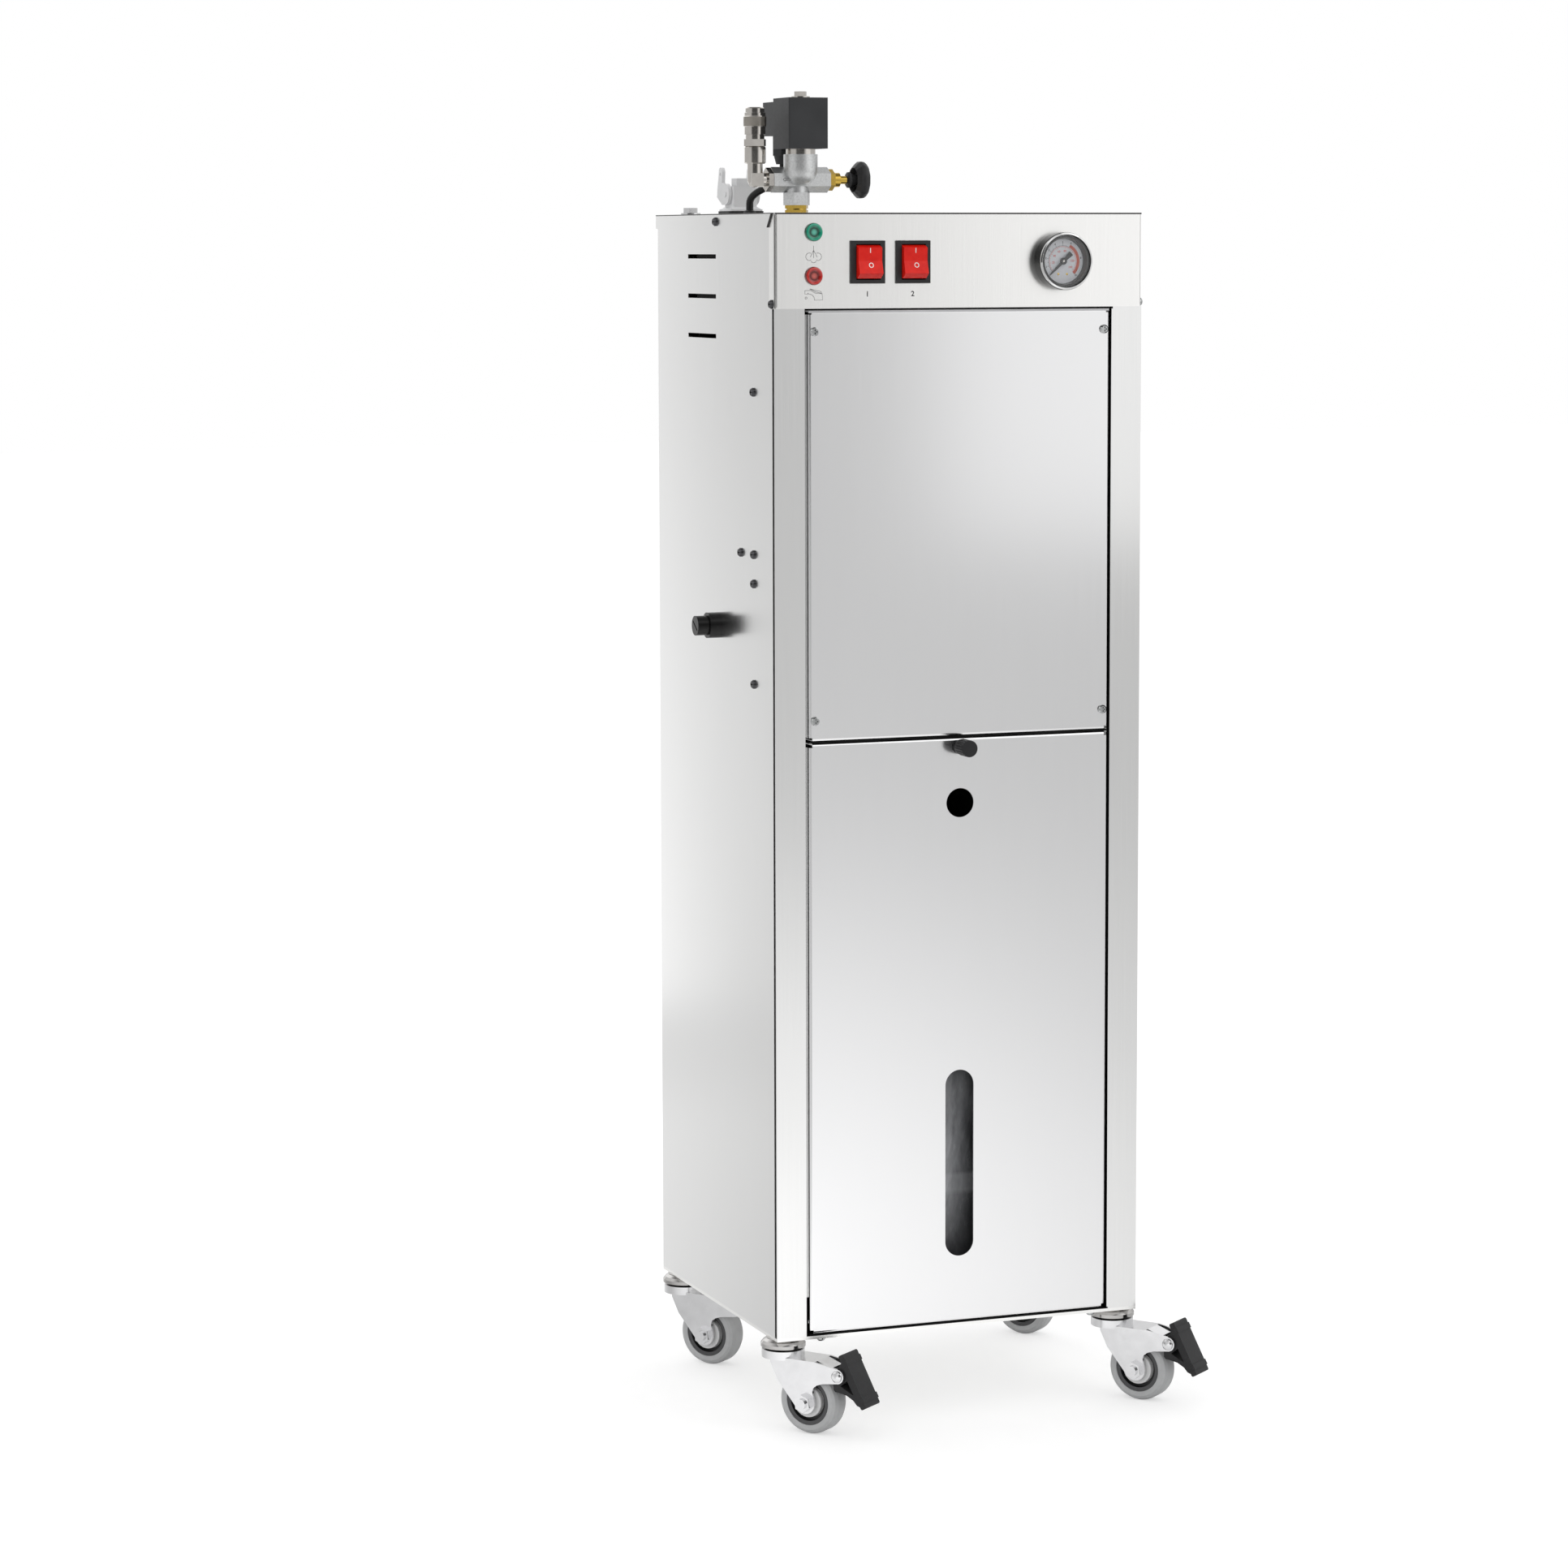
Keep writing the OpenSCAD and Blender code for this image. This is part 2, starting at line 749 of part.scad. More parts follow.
module front_frame() {
    back = lip_y + sheet_t;
    lip_x = post_in + sheet_t - lip_w;
    color("lightgray") in_frame() difference() {
        union() {
            for (s = [0, 1]) mirror([s, 0, 0]) {
                block([post_in, -half_d, sill_z], [half_w, -inner_y, header_z]);
                block([post_in, -half_d, sill_z], [post_in + sheet_t, back, header_z]);
                block([lip_x, lip_y, floor_z + lip_foot], [post_in + sheet_t, back, header_z]);
            }
            block([-lip_x, lip_y, header_z - rail_h], [lip_x, back, header_z]);
            block([-lip_x, lip_y, seam_z - rail_h], [lip_x, back, seam_z + rail_h]);
            rod_y(0, lip_y, back + knob_boss_l, knob_z, knob_boss_r);
        }
        rod_y(0, lip_y - overrun, back + knob_boss_l + overrun, knob_z, knob_screw_r + clear);
        panel_screw_places() rod_y(0, lip_y - overrun, back + overrun, 0, screw_r + hole_play);
    }
}

module header_panel() {
    side_y = lip_y + sheet_t;
    color("whitesmoke") in_frame() difference() {
        union() {
            translate([0, -half_d, header_z]) linear_extrude(lid_z - header_z)
                channel(cabinet_w, side_y + half_d);
            block([-inner_x, -half_d, header_z], [inner_x, lip_y, header_z + sheet_t]);
        }
        for (z = [lamp_z, lamp_z - lamp_pitch])
            rod_y(lamp_x, -half_d - overrun, -inner_y + overrun, z, lamp_stem_r + hole_play);
        for (x = switch_xs)
            block([x - 0.5 * switch_body_w - hole_play, -half_d - overrun, switch_z - 0.5 * switch_body_h - hole_play],
                [x + 0.5 * switch_body_w + hole_play, -inner_y + overrun, switch_z + 0.5 * switch_body_h + hole_play]);
        rod_y(gauge_x, -half_d - overrun, -inner_y + overrun, gauge_z, gauge_body_r + hole_play);
        for (s = [-1, 1]) translate([s * half_w, 0, 0])
            rod_x(-2 * sheet_t, 2 * sheet_t, header_screw_y, header_z + header_screw_up, screw_r + hole_play);
    }
}

module top_lid() {
    lid_notch = 3;
    notch_back = lip_y + lid_notch;
    color("gainsboro") in_frame() difference() {
        union() {
            block([-half_w, -half_d, lid_z], [half_w, half_d + sheet_t, top_z]);
            block([-half_w - sheet_t, half_d, top_z - lid_lip_h], [half_w + sheet_t, half_d + sheet_t, top_z]);
            for (s = [0, 1]) mirror([s, 0, 0]) translate([half_w, 0, 0]) rotate([90, 0, 90]) linear_extrude(sheet_t)
                polygon([[notch_back, top_z - lid_lip_h], [half_d + sheet_t, top_z - lid_lip_h],
                    [half_d + sheet_t, top_z], [notch_back - 0.85 * lid_lip_h, top_z]]);
        }
        rod_z(valve_x, inlet_y, lid_z - overrun, top_z + overrun, nipple_stem_r + hole_play);
        rod_z(grommet_x, grommet_y, lid_z - overrun, top_z + overrun, grommet_neck_r + hole_play);
        rod_z(bolt_x, bolt_y, lid_z - overrun, top_z + overrun, bolt_r + hole_play);
        for (s = [-1, 1]) translate([s * half_w, 0, 0])
            rod_x(-2 * sheet_t, 2 * sheet_t, lid_screw_y, top_z - lid_screw_down, screw_r + hole_play);
    }
}

module upper_panel() {
    color("lightgray") in_frame() difference() {
        folded_front(panel_z0, panel_z1, lip_y + half_d);
        panel_screw_places() rod_y(0, -half_d - overrun, lip_y, 0, screw_r + hole_play);
    }
}

module shelf() {
    front = lip_y + sheet_t;
    color("silver") in_frame() difference() {
        union() {
            block([-inner_x + sheet_t, front, shelf_z], [inner_x - sheet_t, inner_y, shelf_top]);
            block([-0.7 * half_w, front, shelf_z], [0.7 * half_w, front + sheet_t, shelf_z + shelf_lip]);
            for (s = [0, 1]) mirror([s, 0, 0])
                block([inner_x - sheet_t, front + lip_w, shelf_z], [inner_x, inner_y - lip_w, shelf_z + shelf_lip]);
        }
        rod_z(pump_x, pump_y, shelf_z - overrun, shelf_top + overrun, hose_r + 2 * clear);
    }
}

// A pan head screw that points along +Y from the surface at y = 0
module pan_screw(length) {
    head_share = 0.45;
    rotate([-90, 0, 0]) difference() {
        union() {
            translate([0, 0, -head_share * screw_head_h]) cylinder(h = head_share * screw_head_h, r = screw_head_r);
            translate([0, 0, -screw_head_h])
                cylinder(h = (1 - head_share) * screw_head_h, r1 = 0.72 * screw_head_r, r2 = screw_head_r);
            cylinder(h = length, r = screw_r);
        }
        for (a = [0, 90]) rotate([0, 0, a])
            block([-0.14 * screw_head_r, -0.56 * screw_head_r, -screw_head_h - overrun],
                [0.14 * screw_head_r, 0.56 * screw_head_r, -0.4 * screw_head_h]);
    }
}

module panel_screws() {
    short = 3 * sheet_t;
    color("dimgray") in_frame() {
        panel_screw_places() translate([0, -half_d, 0]) pan_screw(lip_y + half_d + short);
        for (s = [0, 1]) mirror([s, 0, 0]) {
            translate([-half_w, header_screw_y, header_z + header_screw_up]) rotate([0, 0, -90]) pan_screw(short);
            translate([-half_w - sheet_t, lid_screw_y, top_z - lid_screw_down]) rotate([0, 0, -90]) pan_screw(short);
            translate([sill_screw_x, hinge_y, floor_z]) rotate([90, 0, 0]) pan_screw(sill_h);
        }
        board_screw_places() translate([-half_w, 0, 0]) rotate([0, 0, -90]) pan_screw(sheet_t);
    }
}

// Inside
function dish_points(dish, r, steps) = let(reach = asin(r / dish))
    [for (i = [0 : steps]) let(a = reach * i / steps) [dish * sin(a), dish * (1 - cos(a))]];

module dished_profile(r, dish, z0, z1, rise) {
    half = dish_points(dish, r, dish_steps);
    polygon(concat([for (p = half) [p[0], z0 - rise + p[1]]],
        [for (i = [dish_steps : -1 : 0]) [half[i][0], z1 + rise - half[i][1]]]));
}

module vessel_inside() {
    translate([vessel_x, vessel_y, 0]) rotate_extrude()
        dished_profile(vessel_r - vessel_wall, vessel_dish_r - vessel_wall, vessel_z0, vessel_z1, inner_rise);
}

module boiler_vessel() {
    color("lightslategray") in_frame() difference() {
        union() {
            translate([vessel_x, vessel_y, 0]) {
                rotate_extrude() dished_profile(vessel_r, vessel_dish_r, vessel_z0, vessel_z1, vessel_rise);
                for (p = port_places) rod_z(p[0], p[1], vessel_z1 - overrun, port_z, port_r);
                for (a = [90, 210, 330]) rotate(a)
                    rod_z(vessel_leg_at, 0, shelf_top, vessel_z0 + overrun, vessel_leg_r);
            }
            rod_y(vessel_x, element_port_y, vessel_y, element_z, element_port_r);
            rod_x(vessel_x - vessel_r - inlet_spigot_l, vessel_x, vessel_y, inlet_spigot_z, inlet_spigot_r);
        }
        vessel_inside();
        rod_y(vessel_x, element_port_y - overrun, vessel_y, element_z, element_port_r - vessel_wall);
    }
}

module heating_element() {
    rod_x_off = 0.5 * element_rod_gap;
    end_y = element_port_y + element_rod_l;
    color("firebrick") in_frame() {
        rod_y(vessel_x, element_port_y - element_flange_t, element_port_y, element_z, element_flange_r);
        for (s = [-1, 1]) {
            rod_y(vessel_x + s * rod_x_off, element_port_y - overrun, end_y, element_z, element_rod_r);
            rod_y(vessel_x + s * rod_x_off, element_port_y - element_flange_t - element_pin_l,
                element_port_y - element_flange_t + overrun, element_z, element_pin_r);
        }
        translate([vessel_x, end_y, element_z]) rotate_extrude(angle = 180) translate([rod_x_off, 0])
            circle(element_rod_r);
        for (a = [45 : 90 : 315]) rotate([0, 0, 0]) translate([vessel_x, element_port_y - element_flange_t, element_z])
            rotate([0, a, 0]) translate([0.84 * element_flange_r, 0, 0]) rotate([90, 0, 0])
            cylinder(h = 2 * screw_head_h, r = screw_head_r, $fn = 6);
    }
}

module safety_valve() {
    at = [vessel_x + port_places[1][0], vessel_y + port_places[1][1]];
    valve_r = 8;
    valve_l = 42;
    color("goldenrod") in_frame() {
        hex_z(at[0], at[1], port_z, port_z + 0.25 * valve_l, 1.15 * valve_r);
        rod_z(at[0], at[1], port_z + 0.25 * valve_l, port_z + 0.75 * valve_l, 0.85 * valve_r);
        rod_z(at[0], at[1], port_z + 0.75 * valve_l, port_z + 0.9 * valve_l, valve_r);
        rod_z(at[0], at[1], port_z + 0.9 * valve_l, port_z + valve_l, 0.35 * valve_r);
    }
}

module pressure_switch() {
    at = [vessel_x + port_places[2][0], vessel_y + port_places[2][1]];
    can_r = 17;
    can_h = 30;
    stem = 8;
    tab = 6.3;
    color("dimgray") in_frame() {
        hex_z(at[0], at[1], port_z, port_z + stem, 1.05 * port_r);
        rod_z(at[0], at[1], port_z + stem, port_z + stem + can_h, can_r);
        for (s = [-1, 1])
            block([at[0] + s * tab - 0.5 * tab, at[1] - 0.5 * sheet_t, port_z + stem + can_h],
                [at[0] + s * tab + 0.5 * tab, at[1] + 0.5 * sheet_t, port_z + stem + can_h + tab]);
    }
}

module feed_pump() {
    foot_z = shelf_top + pump_foot_t;
    color("darkslategray") in_frame() difference() {
        union() {
            block([pump_x - 0.5 * pump_foot, pump_y - 0.5 * pump_foot, shelf_top],
                [pump_x + 0.5 * pump_foot, pump_y + 0.5 * pump_foot, foot_z]);
            block([pump_x - 0.5 * pump_w, pump_y - 0.5 * pump_d, foot_z],
                [pump_x + 0.5 * pump_w, pump_y + 0.5 * pump_d, foot_z + pump_h]);
            rod_z(pump_x, pump_y, foot_z + pump_h, foot_z + pump_h + 0.6 * pump_nose_l, pump_nose_r);
            rod_z(pump_x, pump_y, foot_z + pump_h, foot_z + pump_h + pump_nose_l, pump_tip_r);
        }
        for (s = [-1, 1]) block([pump_x + s * 0.5 * pump_w - 0.12 * pump_w, pump_y - pump_d, foot_z + 0.2 * pump_h],
            [pump_x + s * 0.5 * pump_w + 0.12 * pump_w, pump_y + pump_d, foot_z + 0.8 * pump_h]);
    }
}

module water_tank() {
    inner_r = tank_r - tank_wall;
    color("slategray") in_frame() difference() {
        union() {
            translate([tank_x0, tank_y0, tank_z0]) linear_extrude(tank_h) round_rect(tank_w, tank_d, tank_r);
            rod_z(0, tank_mid_y, tank_z0 + tank_h, tank_z0 + tank_h + tank_neck_h, tank_neck_r);
        }
        translate([tank_x0 + tank_wall, tank_y0 + tank_wall, tank_z0 + tank_wall])
            linear_extrude(tank_h - 2 * tank_wall)
            round_rect(tank_w - 2 * tank_wall, tank_d - 2 * tank_wall, inner_r);
        rod_z(0, tank_mid_y, tank_z0 + tank_h - 2 * tank_wall, tank_z0 + tank_h + tank_neck_h + overrun,
            0.5 * tank_mouth_d);
    }
}

module feed_hoses() {
    color("white") in_frame() {
        tube_along(route_between([suction_x, tank_mid_y, tank_z0 + suction_foot], [0, 0, 1], suction_lead,
            [pump_x, pump_y, shelf_top], [0, 0, -1], feed_lead, suction_bend, hose_steps), hose_r, 8, [1, 0, 0]);
        tube_along(route_between([pump_x, pump_y, pump_top], [0, 0, 1], feed_lead,
            [inlet_tip_x, vessel_y, inlet_spigot_z], [-1, 0, 0], feed_lead, feed_bend, hose_steps),
            hose_r, 8, [1, 0, 0]);
    }
}

module steam_pipes() {
    color("peru") in_frame() {
        tube_along(route_between([vessel_x + port_places[0][0], vessel_y + port_places[0][1], port_z], [0, 0, 1],
            steam_lead, [valve_x, inlet_y, top_z - nipple_stem_l], [0, 0, -1], steam_lead, steam_bend, pipe_steps),
            steam_r, 10, [1, 0, 0]);
        tube_along(route_between([vessel_x + port_places[3][0], vessel_y + port_places[3][1], port_z], [0, 0, 1],
            gauge_line_lead, [gauge_x, gauge_line_y, gauge_z], [0, 1, 0], gauge_line_lead, gauge_line_bend,
            pipe_steps), gauge_line_r, 8, [1, 0, 0]);
    }
}

module control_board() {
    z0 = side_screw_zs[3] - board_margin;
    z1 = side_screw_zs[0] + board_margin;
    x0 = -inner_x + board_off;
    y0 = side_screw_y - 0.25 * board_w;
    color("seagreen") in_frame() {
        board_screw_places() rod_x(-inner_x, x0 + overrun, 0, 0, 1.6 * screw_r);
        block([x0, y0, z0], [x0 + board_t, y0 + board_w, z1]);
        for (i = [0 : 2]) translate([x0 + board_t, y0 + 0.15 * board_w, z0 + board_margin + i * 1.6 * relay_d])
            cube([0.7 * relay_d, 0.7 * board_w, relay_d]);
    }
}

module cable_gland() {
    color("dimgray") in_frame() difference() {
        union() {
            rod_y(gland_x, inner_y - gland_in, half_d + gland_hex_l, gland_z, gland_thread_r);
            translate([gland_x, half_d, gland_z]) rotate([-90, 0, 0])
                cylinder(h = gland_hex_l, r = gland_hex_r, $fn = 6);
            translate([gland_x, inner_y - gland_hex_l, gland_z]) rotate([-90, 0, 0])
                cylinder(h = gland_hex_l, r = gland_hex_r, $fn = 6);
            translate([gland_x, half_d + gland_hex_l, gland_z]) rotate([-90, 0, 0])
                cylinder(h = gland_dome_l, r1 = gland_dome_r, r2 = 0.72 * gland_dome_r);
        }
        rod_y(gland_x, inner_y - gland_in - overrun, half_d + gland_hex_l + gland_dome_l + overrun, gland_z, gland_bore_r);
    }
}

// Controls
module turned_on_front(x, y, z) {
    translate([x, y, z]) rotate([90, 0, 0]) rotate_extrude() children();
}

module gauge_case() {
    back = gauge_depth;
    wall = 1.6;
    color("gainsboro") in_frame() difference() {
        union() {
            turned_on_front(gauge_x, -half_d, gauge_z) polygon([[0, -back], [gauge_body_r, -back],
                [gauge_body_r, 0], [gauge_r, 0], [gauge_r, gauge_out - 1.2 * wall],
                [gauge_r - 0.35 * wall, gauge_out - 0.35 * wall], [gauge_r - wall, gauge_out], [0, gauge_out]]);
            rod_y(gauge_x, -half_d + back - overrun, gauge_line_y, gauge_z, 2.2 * gauge_line_r);
        }
        rod_y(gauge_x, gauge_front_y - overrun, glass_y + glass_t, gauge_z, gauge_room_r + 0.4 * wall);
        rod_y(gauge_x, gauge_front_y, dial_y + dial_t, gauge_z, gauge_room_r);
        rod_y(gauge_x, dial_y, -half_d + back - 1.5 * wall, gauge_z, gauge_room_r - wall);
    }
}

module gauge_dial() {
    color("white") in_frame() difference() {
        rod_y(gauge_x, dial_y, dial_y + dial_t, gauge_z, dial_r);
        rod_y(gauge_x, dial_y - overrun, dial_y + dial_t + overrun, gauge_z, needle_pin_r + run_play);
    }
}

module gauge_glass() {
    color("lightcyan", 0.4) in_frame() rod_y(gauge_x, glass_y, glass_y + glass_t, gauge_z, gauge_room_r + hole_play);
}

module gauge_needle() {
    hub_r = 0.06 * gauge_d;
    color("black") in_frame() {
        rod_y(gauge_x, needle_y, dial_y + dial_t + needle_pin_l, gauge_z, needle_pin_r);
        rod_y(gauge_x, needle_y - needle_t, needle_y + needle_t, gauge_z, hub_r);
        translate([gauge_x, needle_y + 0.5 * needle_t, gauge_z]) rotate([90, 0, 0]) rotate(-needle_zero)
            linear_extrude(needle_t) {
            polygon([[-0.5 * hub_r, 0], [-0.14 * hub_r, needle_l], [0.14 * hub_r, needle_l], [0.5 * hub_r, 0]]);
            polygon([[-0.4 * hub_r, 0], [-0.75 * hub_r, -needle_tail], [0.75 * hub_r, -needle_tail], [0.4 * hub_r, 0]]);
        }
    }
}

module indicator_lamps() {
    lens_r = 0.5 * lamp_d;
    rise = 2.4;
    color("seagreen") in_frame() for (z = [lamp_z, lamp_z - lamp_pitch])
        turned_on_front(lamp_x, -half_d, z) polygon([[0, -lamp_depth], [lamp_stem_r, -lamp_depth], [lamp_stem_r, 0],
            [lens_r, 0], [lens_r, 0.5 * rise], [0.93 * lens_r, 0.85 * rise], [0.8 * lens_r, rise],
            [0.68 * lens_r, 0.8 * rise], [0.5 * lens_r, 0.55 * rise], [0, 0.5 * rise]]);
}

module switch_frames() {
    color("black") in_frame() for (x = switch_xs) translate([x, 0, switch_z]) difference() {
        union() {
            block([-0.5 * switch_w, -half_d - bezel_t, -0.5 * switch_h], [0.5 * switch_w, -half_d, 0.5 * switch_h]);
            block([-0.5 * switch_body_w, -half_d - 0.5 * bezel_t, -0.5 * switch_body_h],
                [0.5 * switch_body_w, -half_d + switch_depth, 0.5 * switch_body_h]);
        }
        block([-0.5 * rocker_w - clear, -half_d - bezel_t - overrun, -0.5 * rocker_room_h],
            [0.5 * rocker_w + clear, rocker_pivot_y + rocker_room_d, 0.5 * rocker_room_h]);
        rod_x(-0.5 * rocker_w - 2 * rocker_pin_r, 0.5 * rocker_w + 2 * rocker_pin_r, rocker_pivot_y, 0,
            rocker_pin_r + run_play);
    }
}

// A rocker, pressed at its upper end
module rocker(x) {
    half_h = 0.5 * rocker_h;
    lift = 0.32 * rocker_h;
    base = 0.1 * rocker_h;
    color("red") in_frame() translate([x, rocker_pivot_y, switch_z]) {
        rod_x(-0.5 * rocker_w - 1.7 * rocker_pin_r, 0.5 * rocker_w + 1.7 * rocker_pin_r, 0, 0, rocker_pin_r);
        rotate([-rocker_tilt, 0, 0]) translate([-0.5 * rocker_w, 0, 0]) rotate([90, 0, 90]) linear_extrude(rocker_w)
            polygon([[-lift, -0.76 * half_h], [-0.8 * lift, 0], [-lift, 0.76 * half_h], [-base, half_h],
                [-0.4 * base, half_h], [base, 0.35 * half_h], [base, -0.35 * half_h], [-0.4 * base, -half_h],
                [-base, -half_h]]);
    }
}

module left_rocker() {
    rocker(switch_xs[0]);
}

module right_rocker() {
    rocker(switch_xs[1]);
}

// Steam valve
module outlet_nipple() {
    color("goldenrod") in_frame() {
        rod_z(valve_x, inlet_y, top_z - nipple_stem_l, top_z + overrun, nipple_stem_r);
        hex_z(valve_x, inlet_y, top_z, top_z + 0.42 * nipple_h, nipple_hex_r);
        rod_z(valve_x, inlet_y, top_z + 0.4 * nipple_h, top_z + 0.6 * nipple_h, 0.82 * nipple_hex_r);
        hex_z(valve_x, inlet_y, top_z + 0.58 * nipple_h, top_z + nipple_h, nipple_hex_r);
    }
}

module valve_body() {
    color("silver") in_frame() difference() {
        union() {
            hex_z(valve_x, inlet_y, top_z + nipple_h, top_z + inlet_top, inlet_hex_r);
            rod_z(valve_x, inlet_y, top_z + inlet_top - overrun, bar_z, 0.8 * inlet_hex_r);
            hex_x(bar_x0, bar_x1, inlet_y, bar_z, 0.5 * bar_hex_d);
            translate([valve_x, column_y, column_base]) rotate_extrude() intersection() {
                circle(column_r);
                translate([0, -column_r]) square(column_r);
            }
            rod_z(valve_x, column_y, column_base, column_top, column_r);
        }
        rod_z(valve_x, column_y, plunger_seat, column_top + overrun, plunger_r + 2 * run_play);
        rod_x(bar_x1 - 0.25 * bar_right, bar_x1 + overrun, inlet_y, bar_z, spindle_r + run_play);
    }
}

module armature_tube() {
    color("silver") in_frame() difference() {
        union() {
            rod_z(valve_x, column_y, column_top, coil_z0, ring_r);
            rod_z(valve_x, column_y, column_top, coil_z1 + overrun, tube_r);
            rod_z(valve_x, column_y, coil_z1, coil_z1 + washer_t, washer_r);
            hex_z(valve_x, column_y, coil_z1 + washer_t, coil_z1 + washer_t + coil_nut_h, coil_nut_r);
        }
        rod_z(valve_x, column_y, column_top - overrun, plunger_room_z, plunger_r + 2 * run_play);
    }
}

module valve_plunger() {
    z0 = plunger_seat + clear;
    color("darkgray") in_frame() rod_z(valve_x, column_y, z0, z0 + plunger_l, plunger_r);
}

module solenoid_coil() {
    color("black") in_frame() difference() {
        translate([valve_x - 0.5 * coil_w, column_y - 0.5 * coil_d, coil_z0]) linear_extrude(coil_h)
            round_rect(coil_w, coil_d, 0.03 * coil_w);
        rod_z(valve_x, column_y, coil_z0 - overrun, coil_z1 + overrun, tube_r + run_play);
    }
}

module cable_connector() {
    y0 = column_y + 0.5 * coil_d;
    gland_top = plug_z0 + overrun;
    color("black") in_frame() {
        translate([valve_x - 0.5 * plug_w, y0, plug_z0]) cube([plug_w, plug_d, plug_h]);
        hex_z(plug_x, plug_y, plug_z0 - 0.7 * plug_gland_h, gland_top, plug_gland_r);
        translate([plug_x, plug_y, plug_z0 - plug_gland_h])
            cylinder(h = 0.3 * plug_gland_h, r1 = 0.65 * plug_gland_r, r2 = 0.86 * plug_gland_r);
    }
}

module coil_cable() {
    color("black") in_frame() {
        tube_along(route_between([plug_x, plug_y, plug_z0 - plug_gland_h], [0, 0, -1], cable_lead,
            [grommet_x, grommet_y, top_z + cable_lift], [0, 0, 1], cable_lead, cable_bend, cable_steps),
            cable_r, 14, [1, 0, 0]);
        rod_z(grommet_x, grommet_y, top_z, top_z + cable_lift, grommet_r);
        rod_z(grommet_x, grommet_y, lid_z - 2 * sheet_t, top_z + 0.5 * cable_lift, grommet_neck_r);
    }
}

module outlet_elbow() {
    color("silver") in_frame() {
        rod_z(elbow_x, inlet_y, bar_z, coupler_z, elbow_r);
        translate([elbow_x, inlet_y, bar_z]) sphere(elbow_r);
        rod_x(elbow_x, bar_x0, inlet_y, bar_z, elbow_stub_r);
        hex_x(bar_x0 - elbow_nut_l, bar_x0, inlet_y, bar_z, elbow_nut_r);
        block([elbow_x - elbow_boss, inlet_y - 1.06 * elbow_r, bar_z - elbow_boss],
            [elbow_x + elbow_boss, inlet_y, bar_z + elbow_boss]);
    }
}

module coupler_body() {
    chamfer = 0.9;
    color("silver") in_frame() translate([elbow_x, inlet_y, 0]) difference() {
        union() {
            rotate_extrude() polygon([[0, coupler_z], [coupler_r - chamfer, coupler_z], [coupler_r, coupler_z + chamfer],
                [coupler_r, coupler_hex_z - chamfer], [coupler_r - chamfer, coupler_hex_z],
                [coupler_r - chamfer, coupler_neck_z], [coupler_neck_r, coupler_neck_z],
                [coupler_neck_r, sleeve_z0 - clear], [coupler_core_r, sleeve_z0 - clear],
                [coupler_core_r, coupler_nose_z], [coupler_nose_r, coupler_nose_z],
                [coupler_nose_r, coupler_top - chamfer], [coupler_nose_r - chamfer, coupler_top], [0, coupler_top]]);
            hex_z(0, 0, coupler_hex_z, coupler_neck_z, coupler_hex_r);
        }
        rod_z(0, 0, coupler_top - coupler_bore_l, coupler_top + overrun, coupler_bore_r);
    }
}

module coupler_sleeve() {
    z1 = sleeve_z0 + sleeve_l;
    skirt_l = 1;
    skirt = sleeve_travel + skirt_l;
    color("gainsboro") in_frame() translate([elbow_x, inlet_y, 0]) rotate_extrude() polygon([
        [coupler_neck_r + 2 * run_play, sleeve_z0], [sleeve_r, sleeve_z0], [sleeve_r, sleeve_z0 + 0.36 * sleeve_l],
        [knurl_r, sleeve_z0 + 0.38 * sleeve_l], [knurl_r, sleeve_z0 + 0.82 * sleeve_l],
        [sleeve_r, sleeve_z0 + 0.86 * sleeve_l], [sleeve_r, z1], [coupler_core_r + 2 * run_play, z1],
        [coupler_core_r + 2 * run_play, sleeve_z0 + skirt], [coupler_neck_r + 2 * run_play, sleeve_z0 + skirt]]);
}

module needle_bonnet() {
    x1 = bar_x1 + bonnet_top_l;
    color("goldenrod") in_frame() difference() {
        union() {
            hex_x(bar_x1, bar_x1 + bonnet_hex_l, inlet_y, bar_z, bonnet_hex_r);
            rod_x(bar_x1, bar_x1 + bonnet_l, inlet_y, bar_z, bonnet_r);
            rod_x(bar_x1, x1, inlet_y, bar_z, bonnet_neck_r);
        }
        rod_x(bar_x1 - overrun, x1 + overrun, inlet_y, bar_z, spindle_r + run_play);
    }
}

module hand_knob() {
    knob_r = 0.5 * hand_knob_d;
    color("black") in_frame() {
        rod_x(bar_x1 - 0.2 * bar_right, hand_knob_x0 + overrun, inlet_y, bar_z, spindle_r);
        translate([hand_knob_x0, inlet_y, bar_z]) rotate([0, 90, 0]) difference() {
            rotate_extrude() polygon([[0, 0], [0.9 * hand_hub_r, 0], [hand_hub_r, 0.2 * hand_hub_l],
                [hand_hub_r, 0.65 * hand_hub_l], [0.75 * knob_r, hand_hub_l], [knob_r, hand_hub_l + 0.25 * hand_knob_l],
                [knob_r, hand_hub_l + 0.8 * hand_knob_l], [0.9 * knob_r, hand_hub_l + hand_knob_l],
                [0, hand_hub_l + hand_knob_l]]);
            for (i = [0 : hand_lobes - 1]) rotate(360 * i / hand_lobes) translate([1.12 * knob_r, 0, 0])
                cylinder(h = hand_hub_l + hand_knob_l + overrun, r = 0.19 * knob_r);
        }
    }
}

// Iron socket
module socket_gasket() {
    color("black") in_frame() translate([socket_x - 0.5 * gasket_w, socket_y - 0.5 * gasket_d, top_z])
        linear_extrude(gasket_t) round_rect(gasket_w, gasket_d, 0.12 * gasket_w);
}

